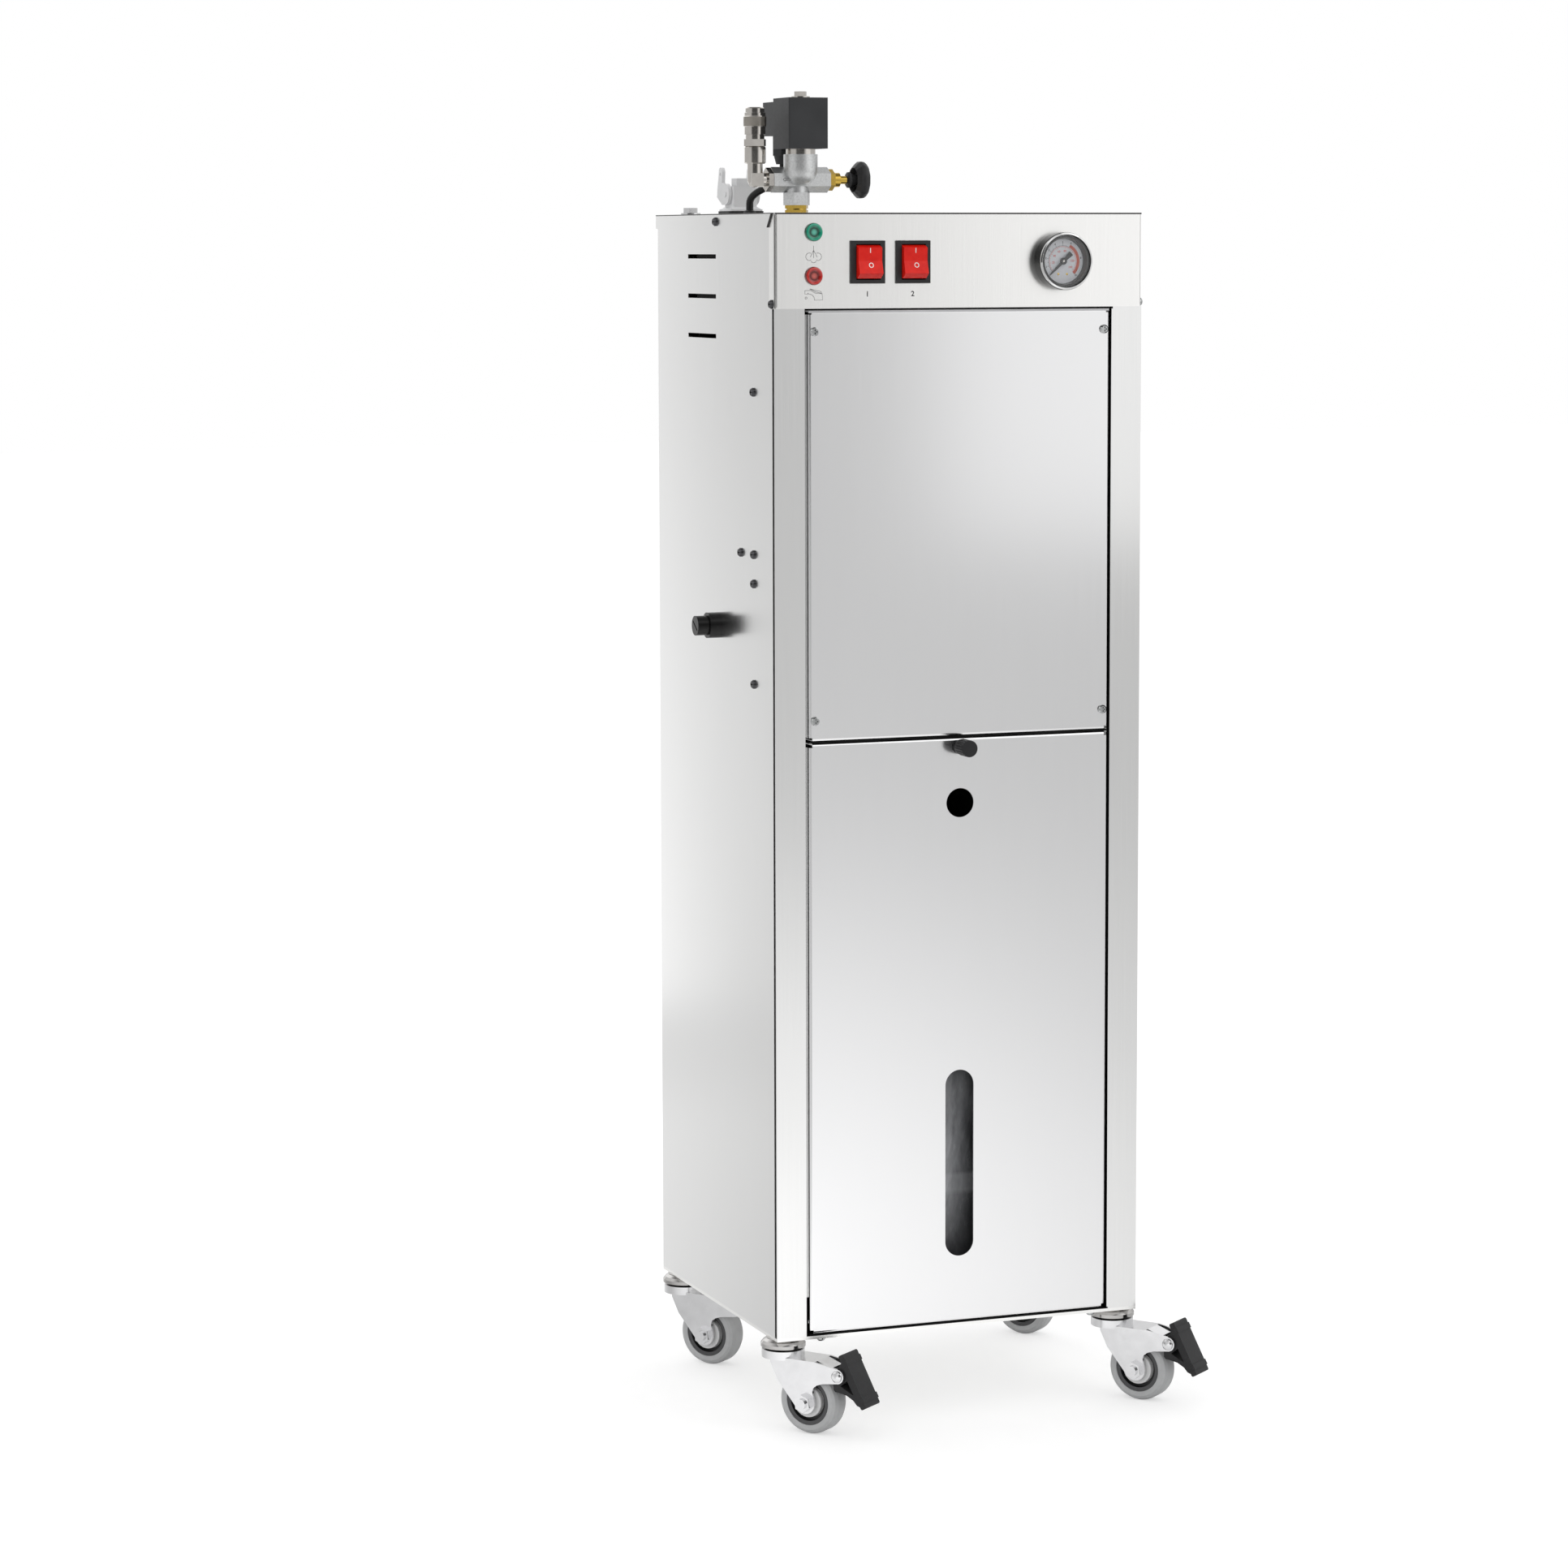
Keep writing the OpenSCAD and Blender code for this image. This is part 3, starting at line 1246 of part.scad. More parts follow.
module socket_housing() {
    z0 = top_z + gasket_t;
    half = 0.5 * socket_w;
    color("lightgray") in_frame() translate([socket_x, socket_y, 0]) {
        translate([-0.48 * gasket_w, -0.48 * gasket_d, z0]) linear_extrude(0.4 * socket_flange_t)
            round_rect(0.96 * gasket_w, 0.96 * gasket_d, 0.12 * gasket_w);
        translate([0, 0, z0 + 0.4 * socket_flange_t]) rotate(45)
            cylinder(h = 0.6 * socket_flange_t, r1 = 0.62 * gasket_w, r2 = 0.68 * socket_w, $fn = 4);
        difference() {
            translate([-half, -half, z0]) linear_extrude(socket_h - gasket_t)
                round_rect(socket_w, socket_w, 0.08 * socket_w);
            translate([-half + socket_wall, -half + socket_wall, top_z + socket_h - socket_depth])
                cube([socket_w - 2 * socket_wall, socket_w - 2 * socket_wall, socket_depth + overrun]);
        }
        block([-0.5 * insert_w, -0.5 * insert_w, z0], [0.5 * insert_w, 0.5 * insert_w, top_z + insert_h]);
        rod_x(-half - clear - 1.2 * lever_t, half + clear + 1.2 * lever_t, 0, lever_z, lever_pin_r);
    }
}

module socket_lever() {
    half = 0.5 * socket_w + clear;
    r = lever_disc_r;
    back = lever_reach + lever_bar;
    color("gainsboro") in_frame() translate([socket_x, socket_y, lever_z]) {
        for (s = [0, 1]) mirror([s, 0, 0]) translate([half, 0, 0]) rotate([90, 0, 90]) difference() {
            linear_extrude(lever_t) {
                circle(r);
                polygon([[0, -r], [0.9 * r, -r], [back, -0.25 * r], [0.95 * back, 0.5 * r],
                    [lever_tip_y + lever_tip_r, 0.93 * lever_tip], [lever_tip_y - lever_tip_r, lever_tip],
                    [0.41 * back, 1.1 * r], [0.16 * back, 0.92 * r]]);
                translate([lever_tip_y, lever_tip]) circle(lever_tip_r);
            }
            translate([0, 0, -overrun]) cylinder(h = lever_t + 2 * overrun, r = lever_pin_r + run_play);
            translate([lever_tip_y, 0.9 * lever_tip, -overrun])
                cylinder(h = lever_t + 2 * overrun, r = 0.35 * lever_tip_r);
        }
        block([-half - 0.5 * lever_t, lever_reach, -0.25 * r], [half + 0.5 * lever_t, back, 0.45 * r]);
    }
}

module lid_bolt() {
    color("silver") in_frame() {
        rod_z(bolt_x, bolt_y, top_z, top_z + bolt_washer_t, bolt_washer_r);
        hex_z(bolt_x, bolt_y, top_z + bolt_washer_t, top_z + bolt_washer_t + bolt_head_h, bolt_head_r);
        rod_z(bolt_x, bolt_y, top_z - bolt_l, top_z + overrun, bolt_r);
    }
}

// Fuse
module fuse_holder() {
    color("black") in_frame() difference() {
        union() {
            rod_x(-half_w - fuse_flange_l, -half_w, fuse_y, fuse_z, fuse_flange_r);
            rod_x(-half_w - overrun, -half_w + fuse_body_l, fuse_y, fuse_z, fuse_body_r);
        }
        rod_x(-half_w - fuse_flange_l - overrun, -half_w, fuse_y, fuse_z, fuse_plug_r + run_play);
    }
}

module fuse_cap() {
    x1 = -half_w - fuse_flange_l - clear;
    x0 = x1 - fuse_cap_l;
    color("black") in_frame() difference() {
        union() {
            rod_x(x0, x1, fuse_y, fuse_z, fuse_cap_r);
            rod_x(x1 - overrun, -half_w - 0.1 * fuse_flange_l, fuse_y, fuse_z, fuse_plug_r);
        }
        translate([x0, fuse_y, fuse_z]) rotate([35, 0, 0])
            block([-overrun, -0.8 * fuse_cap_r, -0.5 * fuse_slot_w], [fuse_slot_d, 0.8 * fuse_cap_r, 0.5 * fuse_slot_w]);
    }
}

// Door
module door() {
    color("lightgray") in_frame() difference() {
        folded_front(door_z0, door_z1, front_depth);
        for (s = [0, 1]) mirror([s, 0, 0]) {
            block([hinge_flange_x, -inner_y, door_z0 - overrun], [front_x - sheet_t, lip_y, door_z0 + 2 * sheet_t]);
            rod_x(front_x - 2 * sheet_t, front_x + overrun, hinge_y, hinge_z, hinge_pin_r + run_play);
        }
        rod_y(0, -half_d - overrun, -inner_y + overrun, knob_z, knob_screw_r + hole_play);
        rod_y(0, -half_d - overrun, -inner_y + overrun, finger_z, 0.5 * finger_hole_d);
        for (z = [sight_z0 + 0.5 * sight_w, sight_z0 + sight_l - 0.5 * sight_w])
            rod_y(0, -half_d - overrun, -inner_y + overrun, z, 0.5 * sight_w);
        block([-0.5 * sight_w, -half_d - overrun, sight_z0 + 0.5 * sight_w],
            [0.5 * sight_w, -inner_y + overrun, sight_z0 + sight_l - 0.5 * sight_w]);
    }
}

module door_knob() {
    knob_r = 0.5 * knob_d;
    grip_r = 0.07 * knob_d;
    color("black") in_frame() translate([0, -half_d - clear, knob_z]) rotate([90, 0, 0]) {
        difference() {
            rotate_extrude() polygon([[0, 0], [0.75 * knob_r, 0], [0.75 * knob_r, 0.08 * knob_l],
                [0.9 * knob_r, 0.12 * knob_l], [knob_r, 0.3 * knob_l], [knob_r, 0.96 * knob_l],
                [0.94 * knob_r, knob_l], [0, knob_l]]);
            for (i = [0 : knob_grip_count - 1]) rotate(360 * i / knob_grip_count)
                translate([knob_r + 0.45 * grip_r, 0, -overrun]) cylinder(h = knob_l, r = grip_r);
        }
        translate([0, 0, -(lip_y + half_d + knob_boss_l)])
            cylinder(h = lip_y + half_d + knob_boss_l + overrun, r = knob_screw_r);
    }
}

module hinge_brackets() {
    color("silver") in_frame() for (s = [0, 1]) mirror([s, 0, 0]) difference() {
        union() {
            block([hinge_arm_x + hinge_arm_t - hinge_foot_w, -inner_y, pan_z],
                [hinge_arm_x + hinge_arm_t, hinge_leg_y + hinge_leg_d, sill_z]);
            block([hinge_arm_x, hinge_leg_y, pan_z],
                [hinge_arm_x + hinge_arm_t, hinge_leg_y + hinge_leg_d, hinge_z + hinge_eye_r]);
            block([hinge_arm_x, hinge_y, hinge_z - hinge_eye_r],
                [hinge_arm_x + hinge_arm_t, hinge_leg_y + hinge_leg_d, hinge_z + hinge_eye_r]);
            rod_x(hinge_arm_x, hinge_arm_x + hinge_arm_t, hinge_y, hinge_z, hinge_eye_r);
            rod_x(hinge_arm_x, front_x + clear, hinge_y, hinge_z, hinge_pin_r);
        }
        rod_z(sill_screw_x, hinge_y, pan_z - overrun, sill_z + overrun, screw_r + hole_play);
    }
}

// Casters
module caster_mounts() {
    cup_round = 0.3 * (cup_z1 - cup_z0);
    color("silver") in_frame() caster_places() {
        rotate_extrude() polygon([[0, cup_z0], [cup_r - cup_round, cup_z0], [cup_r, cup_z0 + 0.6 * cup_round],
            [cup_r, cup_z0 + 1.6 * cup_round], [cup_r - 0.6 * cup_round, cup_z0 + 2.4 * cup_round],
            [cup_neck_r, cup_z1 - 0.3 * cup_round], [cup_neck_r, cup_z1], [0, cup_z1]]);
        rod_z(0, 0, king_z0, cup_z0 + overrun, king_r);
        rod_z(0, 0, king_z0, king_z0 + king_head_h, king_head_r);
        rod_z(0, 0, cup_z1 - overrun, cup_z1 + stud_l, stud_r);
        hex_z(0, 0, pan_z, pan_z + stud_nut_h, stud_nut_r);
    }
}

// The local frame of a caster: x along the trail, y along the axle
module on_caster(right, rear) {
    in_frame() translate([right ? caster_x : -caster_x, rear ? caster_y : -caster_y, 0]) rotate(caster_turn)
        children();
}

// Extrudes an outline in the wheel's plane between two places on the axle
module across(y0, y1) {
    translate([0, y1, 0]) rotate([90, 0, 0]) linear_extrude(y1 - y0) children();
}

module cheek_outline() {
    bottom = 220;
    side = 8;
    polygon([[-cheek_back, web_z1], [-cheek_back, web_z1 - cheek_drop],
        [caster_trail - cheek_waist[0], wheel_r + cheek_waist[1]],
        [caster_trail + axle_boss_r * cos(bottom), wheel_r + axle_boss_r * sin(bottom)],
        [caster_trail + axle_boss_r * cos(side), wheel_r + axle_boss_r * sin(side)],
        [caster_trail + 0.78 * axle_boss_r, wheel_r + 1.1 * axle_boss_r],
        [caster_trail + 0.9 * axle_boss_r, wheel_r + 1.45 * axle_boss_r],
        [caster_trail + 1.25 * axle_boss_r, wheel_r + 1.72 * axle_boss_r],
        [caster_trail + 1.85 * axle_boss_r, wheel_r + 1.92 * axle_boss_r],
        [rivet_u, rivet_z - arm_r], [rivet_u, rivet_z + 0.98 * arm_r], [web_end, web_z1]]);
    translate([caster_trail, wheel_r]) circle(axle_boss_r);
    translate([rivet_u, rivet_z]) circle(arm_r);
}

module fork(braked) {
    difference() {
        union() {
            rod_z(0, 0, web_z0, web_z1, 0.92 * race_r);
            block([0, -cheek_out, web_z0], [web_end, cheek_out, web_z1]);
            rod_z(0, 0, web_z0, ring_z1, race_r);
            for (s = [0, 1]) mirror([0, s, 0]) across(cheek_in, cheek_out) cheek_outline();
            across(-0.75 * cheek_in, 0.75 * cheek_in)
                polygon([[web_end - tab_t, web_z0], [web_end + tab_reach, web_z0 - tab_drop],
                    [web_end + tab_reach, web_z0 - tab_drop + tab_t], [web_end, web_z1]]);
        }
        rod_z(0, 0, web_z0 - overrun, ring_z1 + overrun, king_r + run_play);
        rod_z(0, 0, web_z1, ring_z1 + overrun, race_in_r);
        rod_y(caster_trail, -cheek_out - overrun, cheek_out + overrun, wheel_r, axle_r + run_play);
        if (braked)
            rod_y(rivet_u, -cheek_out - overrun, cheek_out + overrun, rivet_z, rivet_r + run_play);
    }
    rod_y(caster_trail, -cheek_out - axle_hex_h - axle_tip, cheek_out + axle_hex_h, wheel_r, axle_r);
    for (s = [0, 1]) mirror([0, s, 0]) translate([caster_trail, cheek_out, wheel_r]) rotate([-90, 20, 0])
        cylinder(h = axle_hex_h, r = axle_hex_r, $fn = 6);
    if (braked) {
        rod_y(rivet_u, -cheek_out, cheek_out, rivet_z, rivet_r);
        for (s = [0, 1]) mirror([0, s, 0]) translate([rivet_u, cheek_out, rivet_z]) rotate([-90, 0, 0])
            rotate_extrude() polygon([[0, 0], [rivet_dome_r, 0], [0.92 * rivet_dome_r, 0.45 * rivet_dome_h],
                [0.65 * rivet_dome_r, 0.82 * rivet_dome_h], [0, rivet_dome_h]]);
    }
}

module fork_front_left() {
    color("gainsboro") on_caster(false, false) fork(true);
}

module fork_front_right() {
    color("gainsboro") on_caster(true, false) fork(true);
}

module fork_rear_left() {
    color("gainsboro") on_caster(false, true) fork(false);
}

module fork_rear_right() {
    color("gainsboro") on_caster(true, true) fork(false);
}

// A tyre on a moulded core with a thread guard over the hub
module wheel() {
    core_r = 0.72 * wheel_r;
    rim_r = 0.59 * wheel_r;
    guard_r = 0.47 * wheel_r;
    shoulder = 0.14 * wheel_r;
    dish = 0.55 * half_wheel;
    bore = axle_r + run_play;
    translate([caster_trail, 0, wheel_r]) rotate([90, 0, 0]) {
        rotate_extrude() polygon([[core_r, -half_wheel], [wheel_r - shoulder, -half_wheel],
            [wheel_r - 0.4 * shoulder, -half_wheel + 0.35 * shoulder], [wheel_r, -half_wheel + 1.2 * shoulder],
            [wheel_r, half_wheel - 1.2 * shoulder], [wheel_r - 0.4 * shoulder, half_wheel - 0.35 * shoulder],
            [wheel_r - shoulder, half_wheel], [core_r, half_wheel]]);
        rotate_extrude() polygon([[bore, -half_wheel], [guard_r, -half_wheel], [guard_r, -dish], [rim_r, -dish],
            [rim_r, -0.93 * half_wheel], [core_r, -0.93 * half_wheel], [core_r, 0.93 * half_wheel],
            [rim_r, 0.93 * half_wheel], [rim_r, dish], [guard_r, dish], [guard_r, half_wheel], [bore, half_wheel]]);
    }
}

module wheel_front_left() {
    color("gray") on_caster(false, false) wheel();
}

module wheel_front_right() {
    color("gray") on_caster(true, false) wheel();
}

module wheel_rear_left() {
    color("gray") on_caster(false, true) wheel();
}

module wheel_rear_right() {
    color("gray") on_caster(true, true) wheel();
}

// A rocking pedal: the tread, its bands and the shoe that meets the tyre
module brake_pedal() {
    translate([rivet_u, 0, rivet_z]) {
        difference() {
            union() {
                across(-0.5 * pedal_body_w, 0.5 * pedal_body_w) {
                    circle(pedal_boss_r);
                    polygon(pedal_l * pedal_body_shares);
                }
                rotate([0, -tread_lean, 0]) translate([tread_near, 0, 0]) {
                    across(-0.5 * tread_w, 0.5 * tread_w) translate([0, -(1 - tread_up_share) * pedal_l])
                        round_rect(tread_t, pedal_l, 0.3 * tread_t);
                    for (share = [-(1 - tread_up_share) + band_share, tread_up_share - 2 * band_share])
                        across(-0.5 * tread_w - 0.5 * band_t, 0.5 * tread_w + 0.5 * band_t)
                        translate([0.4 * tread_t, share * pedal_l]) square([0.6 * tread_t + band_t, band_share * pedal_l]);
                }
            }
            rod_y(0, -tread_w, tread_w, 0, rivet_r + run_play);
            across(-tread_w, tread_w) polygon(pedal_l * pedal_window_shares);
        }
    }
}

module brake_pedal_left() {
    color("black") on_caster(false, false) brake_pedal();
}

module brake_pedal_right() {
    color("black") on_caster(true, false) brake_pedal();
}

base_tray();
side_panel_left();
side_panel_right();
back_panel();
front_frame();
header_panel();
top_lid();
upper_panel();
shelf();
panel_screws();
boiler_vessel();
heating_element();
safety_valve();
pressure_switch();
feed_pump();
water_tank();
feed_hoses();
steam_pipes();
control_board();
cable_gland();
gauge_case();
gauge_dial();
gauge_glass();
gauge_needle();
indicator_lamps();
switch_frames();
left_rocker();
right_rocker();
outlet_nipple();
valve_body();
armature_tube();
valve_plunger();
solenoid_coil();
cable_connector();
coil_cable();
outlet_elbow();
coupler_body();
coupler_sleeve();
needle_bonnet();
hand_knob();
socket_housing();
socket_gasket();
socket_lever();
lid_bolt();
fuse_holder();
fuse_cap();
door();
door_knob();
hinge_brackets();
caster_mounts();
fork_front_left();
fork_front_right();
fork_rear_left();
fork_rear_right();
wheel_front_left();
wheel_front_right();
wheel_rear_left();
wheel_rear_right();
brake_pedal_left();
brake_pedal_right();
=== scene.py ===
import json
import math

import bmesh
import bpy
from mathutils import Matrix, Vector
from mathutils.bvhtree import BVHTree


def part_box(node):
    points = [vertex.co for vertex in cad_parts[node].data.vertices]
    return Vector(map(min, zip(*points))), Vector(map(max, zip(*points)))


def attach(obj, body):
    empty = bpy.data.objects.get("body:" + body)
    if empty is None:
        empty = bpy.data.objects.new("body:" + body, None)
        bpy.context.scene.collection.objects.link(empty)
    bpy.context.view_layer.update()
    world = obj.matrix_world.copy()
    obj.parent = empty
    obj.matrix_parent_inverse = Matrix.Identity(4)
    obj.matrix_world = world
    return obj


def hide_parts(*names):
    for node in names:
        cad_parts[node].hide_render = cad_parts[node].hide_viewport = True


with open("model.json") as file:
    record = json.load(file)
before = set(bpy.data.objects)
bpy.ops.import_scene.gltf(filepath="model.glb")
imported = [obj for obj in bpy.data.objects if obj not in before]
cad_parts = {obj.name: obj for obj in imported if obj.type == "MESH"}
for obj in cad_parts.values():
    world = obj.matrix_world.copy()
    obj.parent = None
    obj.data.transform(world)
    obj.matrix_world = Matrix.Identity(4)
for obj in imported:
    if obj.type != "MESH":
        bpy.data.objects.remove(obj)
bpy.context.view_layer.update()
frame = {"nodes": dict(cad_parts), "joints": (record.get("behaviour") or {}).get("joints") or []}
nodes = frame["nodes"]


# Camera

CAMERA_PLACE = (-1.30177, -3.16647, 0.88620)
CAMERA_TURN = -20.6381
CAMERA_DOWN = 6.0108
CAMERA_ROLL = -0.1473


def photo_camera():
    """The photograph's camera, at the left of the front, with its angles in degrees."""
    lens = bpy.data.cameras.new("photo_camera")
    lens.sensor_width = 36.0
    lens.lens = 102.05
    lens.shift_y = -0.045
    lens.clip_start = 0.1
    lens.clip_end = 60.0
    camera = bpy.data.objects.new("photo_camera", lens)
    bpy.context.scene.collection.objects.link(camera)
    camera.matrix_world = (
        Matrix.Translation(CAMERA_PLACE)
        @ Matrix.Rotation(math.radians(CAMERA_TURN), 4, "Z")
        @ Matrix.Rotation(math.radians(90 - CAMERA_DOWN), 4, "X")
        @ Matrix.Rotation(math.radians(CAMERA_ROLL), 4, "Z")
    )
    bpy.context.scene.camera = camera


# Node helpers

# A mix node has a first input, a second input and a result for each kind of value
MIX_SHARE = 0
MIX_NUMBERS = (2, 3, 0)
MIX_COLOURS = (6, 7, 2)


class Nodes:
    """A node tree, with the place that its textures and shades go by."""

    def __init__(self, tree, place):
        self.tree = tree
        self.place = self.node("ShaderNodeTexCoord").outputs[place]

    def node(self, kind, **settings):
        """A new node of the tree, with its settings."""
        made = self.tree.nodes.new(kind)
        for key, value in settings.items():
            setattr(made, key, value)
        return made

    def feed(self, value, socket):
        """Links another node's output to a socket, or sets the socket to a fixed value."""
        if isinstance(value, bpy.types.NodeSocket):
            self.tree.links.new(value, socket)
        else:
            socket.default_value = value

    def split(self, out=None):
        """The X, Y and Z of a place, the tree's own unless another is given."""
        made = self.node("ShaderNodeSeparateXYZ")
        self.feed(self.place if out is None else out, made.inputs[0])
        return made.outputs

    def flat(self, parts, *axes):
        """A place that keeps only some of its axes."""
        made = self.node("ShaderNodeCombineXYZ")
        for axis in axes:
            self.feed(parts[axis], made.inputs[axis])
        return made.outputs[0]

    def vector(self, action, first, second=(0, 0, 0), result="Vector"):
        """An action on two places, with a place or a number as its result."""
        made = self.node("ShaderNodeVectorMath", operation=action)
        self.feed(first, made.inputs[0])
        self.feed(second, made.inputs[1])
        return made.outputs[result]

    def maths(self, action, a, b=0.0, c=0.0):
        """An action on up to three numbers."""
        made = self.node("ShaderNodeMath", operation=action)
        for value, socket in zip((a, b, c), made.inputs):
            self.feed(value, socket)
        return made.outputs["Value"]

    def ranged(self, value, low, high, to_low=0.0, to_high=1.0, steps="LINEAR"):
        """A number between low and high, carried over to another range and held at its ends."""
        made = self.node("ShaderNodeMapRange", interpolation_type=steps)
        for key, number in (("From Min", low), ("From Max", high), ("To Min", to_low), ("To Max", to_high)):
            self.feed(number, made.inputs[key])
        self.feed(value, made.inputs["Value"])
        return made.outputs["Result"]

    def mixed(self, share, first, second):
        """Two numbers mixed by a share from 0 to 1."""
        made = self.node("ShaderNodeMix", data_type="FLOAT")
        into_first, into_second, result = MIX_NUMBERS
        for value, index in ((share, MIX_SHARE), (first, into_first), (second, into_second)):
            self.feed(value, made.inputs[index])
        return made.outputs[result]

    def blended(self, share, first, second):
        """Two colours mixed by a share from 0 to 1."""
        made = self.node("ShaderNodeMix", data_type="RGBA")
        into_first, into_second, result = MIX_COLOURS
        self.feed(share, made.inputs[MIX_SHARE])
        for value, index in ((first, into_first), (second, into_second)):
            self.feed((*value, 1) if isinstance(value, tuple) else value, made.inputs[index])
        return made.outputs[result]


class Finish(Nodes):
    """One procedural material on a single shader."""

    def __init__(self, name, colour, rough, metal=0.0, **sockets):
        self.material = bpy.data.materials.new(name)
        self.material.use_nodes = True
        super().__init__(self.material.node_tree, "Object")
        self.inputs = self.tree.nodes["Principled BSDF"].inputs
        self.inputs["Base Color"].default_value = (*colour, 1)
        self.inputs["Roughness"].default_value = rough
        self.inputs["Metallic"].default_value = metal
        for key, value in sockets.items():
            self.inputs[key.replace("_", " ")].default_value = value

    def stretched(self, scale=(1, 1, 1), centre=(0, 0, 0), turn=(0, 0, 0)):
        """The piece's own place, turned and scaled about a centre."""
        mapping = self.node("ShaderNodeMapping", vector_type="TEXTURE")
        mapping.inputs["Location"].default_value = centre
        mapping.inputs["Rotation"].default_value = turn
        mapping.inputs["Scale"].default_value = tuple(1 / s for s in scale)
        self.feed(self.place, mapping.inputs["Vector"])
        return mapping.outputs["Vector"]

    def noise(self, scale, detail=2.0, rough=0.5, stretch=(1, 1, 1), turn=(0, 0, 0)):
        """Noise with so many grains in a metre."""
        made = self.node("ShaderNodeTexNoise")
        made.inputs["Scale"].default_value = scale
        made.inputs["Detail"].default_value = detail
        made.inputs["Roughness"].default_value = rough
        self.feed(self.stretched(stretch, turn=turn), made.inputs["Vector"])
        return made.outputs["Fac"]

    def colour_by(self, share, first, second):
        """Base colour between two colours."""
        self.feed(self.blended(share, first, second), self.inputs["Base Color"])

    def rough_by(self, share, low, high):
        """Roughness between two numbers."""
        self.feed(self.ranged(share, 0, 1, low, high), self.inputs["Roughness"])

    def bump(self, height, strength, distance):
        """Relief by a height, with its distance in metres."""
        made = self.node("ShaderNodeBump")
        made.inputs["Strength"].default_value = strength
        made.inputs["Distance"].default_value = distance
        self.feed(height, made.inputs["Height"])
        self.feed(made.outputs["Normal"], self.inputs["Normal"])


# Finishes

GRAIN_SHARE = 0.75


def steel(name, colour, rough, grain, stretch, relief=0.04, depth=0.03):
    """Sheet steel with a fine upright grain and cloudy wear."""
    made = Finish(name, colour, rough, 1.0)
    fine = made.noise(grain, 3.0, 0.6, (1, 1, stretch))
    cloud = made.noise(6.0, 3.0, 0.5)
    dull = tuple((1 - depth) * c for c in colour)
    pale = tuple(min(1.0, (1 + 0.5 * depth) * c) for c in colour)
    tone = made.maths("ADD", made.maths("MULTIPLY", fine, GRAIN_SHARE),
                      made.maths("MULTIPLY", cloud, 1 - GRAIN_SHARE))
    made.colour_by(made.ranged(tone, 0.3, 0.7), dull, pale)
    made.rough_by(tone, rough - 0.02, rough + 0.03)
    made.bump(fine, relief, 0.0002)
    return made.material


def plated(name, colour, rough, scale=90.0, mottle=0.06):
    """Plated or turned metal with faint blotches."""
    made = Finish(name, colour, rough, 1.0)
    blotch = made.noise(scale, 4.0, 0.6)
    made.colour_by(made.ranged(blotch, 0.3, 0.7), tuple((1 - mottle) * c for c in colour), colour)
    made.rough_by(blotch, max(0.02, rough - 0.06), rough + 0.08)
    made.bump(made.noise(scale * 6, 2.0), 0.05, 0.0002)
    return made.material


def moulded(name, colour, rough, grit=900.0, relief=0.25, second=None, shine=0.5):
    """Moulded plastic or rubber with a fine spark texture."""
    made = Finish(name, colour, rough, Specular_IOR_Level=shine)
    speck = made.noise(grit, 3.0, 0.6)
    cloud = made.noise(25.0, 3.0, 0.5)
    other = second or tuple(min(1.0, c * 1.25 + 0.004) for c in colour)
    made.colour_by(made.ranged(cloud, 0.35, 0.65), colour, other)
    made.rough_by(speck, rough - 0.06, rough + 0.1)
    made.bump(speck, relief, 0.0001)
    return made.material


side_steel = steel("side_steel", (0.86, 0.86, 0.855), 0.21, 900.0, 0.012, 0.03)
grain_steel = steel("grain_steel", (0.985, 0.98, 0.965), 0.26, 1100.0, 0.01, 0.06)
bright_steel = steel("bright_steel", (0.87, 0.87, 0.875), 0.17, 600.0, 0.02, 0.006, depth=0.012)
post_steel = steel("post_steel", (0.85, 0.85, 0.845), 0.15, 1100.0, 0.01, 0.05)
zinc = plated("zinc_plate", (0.80, 0.80, 0.81), 0.14)
fork_zinc = plated("fork_zinc", (0.80, 0.80, 0.81), 0.17, 90.0, 0.10)
# The swivel heads' zinc is darker than the other zinc: a painted dark reflection
swivel_zinc_dark_reflection = plated("swivel_zinc_dark_reflection", (0.50, 0.49, 0.48), 0.10, 90.0, 0.14)
nickel = plated("nickel_plate", (0.68, 0.65, 0.61), 0.12, 90.0, 0.12)
cast_zinc = plated("cast_zinc", (0.80, 0.81, 0.81), 0.40, 700.0, 0.24)
brass = plated("turned_brass", (0.64, 0.43, 0.085), 0.18, 120.0, 0.18)
copper = plated("bare_copper", (0.78, 0.42, 0.28), 0.28, 60.0, 0.2)
vessel_steel = plated("vessel_steel", (0.62, 0.62, 0.63), 0.35, 40.0, 0.15)
coil_black = moulded("coil_black", (0.034, 0.035, 0.037), 0.45, 700.0, 0.4, shine=0.28)
soft_black = moulded("soft_black", (0.020, 0.020, 0.021), 0.50, 500.0, 0.2, shine=0.3)
gloss_black = moulded("gloss_black", (0.010, 0.010, 0.010), 0.22, 900.0, 0.06, shine=0.3)
knob_black = moulded("knob_black", (0.014, 0.014, 0.015), 0.36, 900.0, 0.15, shine=0.3)
wheel_black = moulded("wheel_black", (0.024, 0.024, 0.025), 0.42, 900.0, 0.3, shine=0.35)
frame_black = moulded("frame_black", (0.022, 0.022, 0.023), 0.38, 900.0, 0.12, shine=0.28)
socket_grey = moulded("socket_grey", (0.72, 0.725, 0.73), 0.36, 600.0, 0.08, (0.76, 0.76, 0.765))
hose_white = moulded("hose_white", (0.72, 0.74, 0.75), 0.38, 300.0, 0.1)
board_green = moulded("board_green", (0.03, 0.16, 0.07), 0.42, 300.0, 0.1)
pump_black = moulded("pump_black", (0.03, 0.03, 0.035), 0.40, 300.0, 0.2)
dial_white = moulded("dial_white", (0.86, 0.86, 0.91), 0.45, 500.0, 0.02, (0.88, 0.88, 0.92))


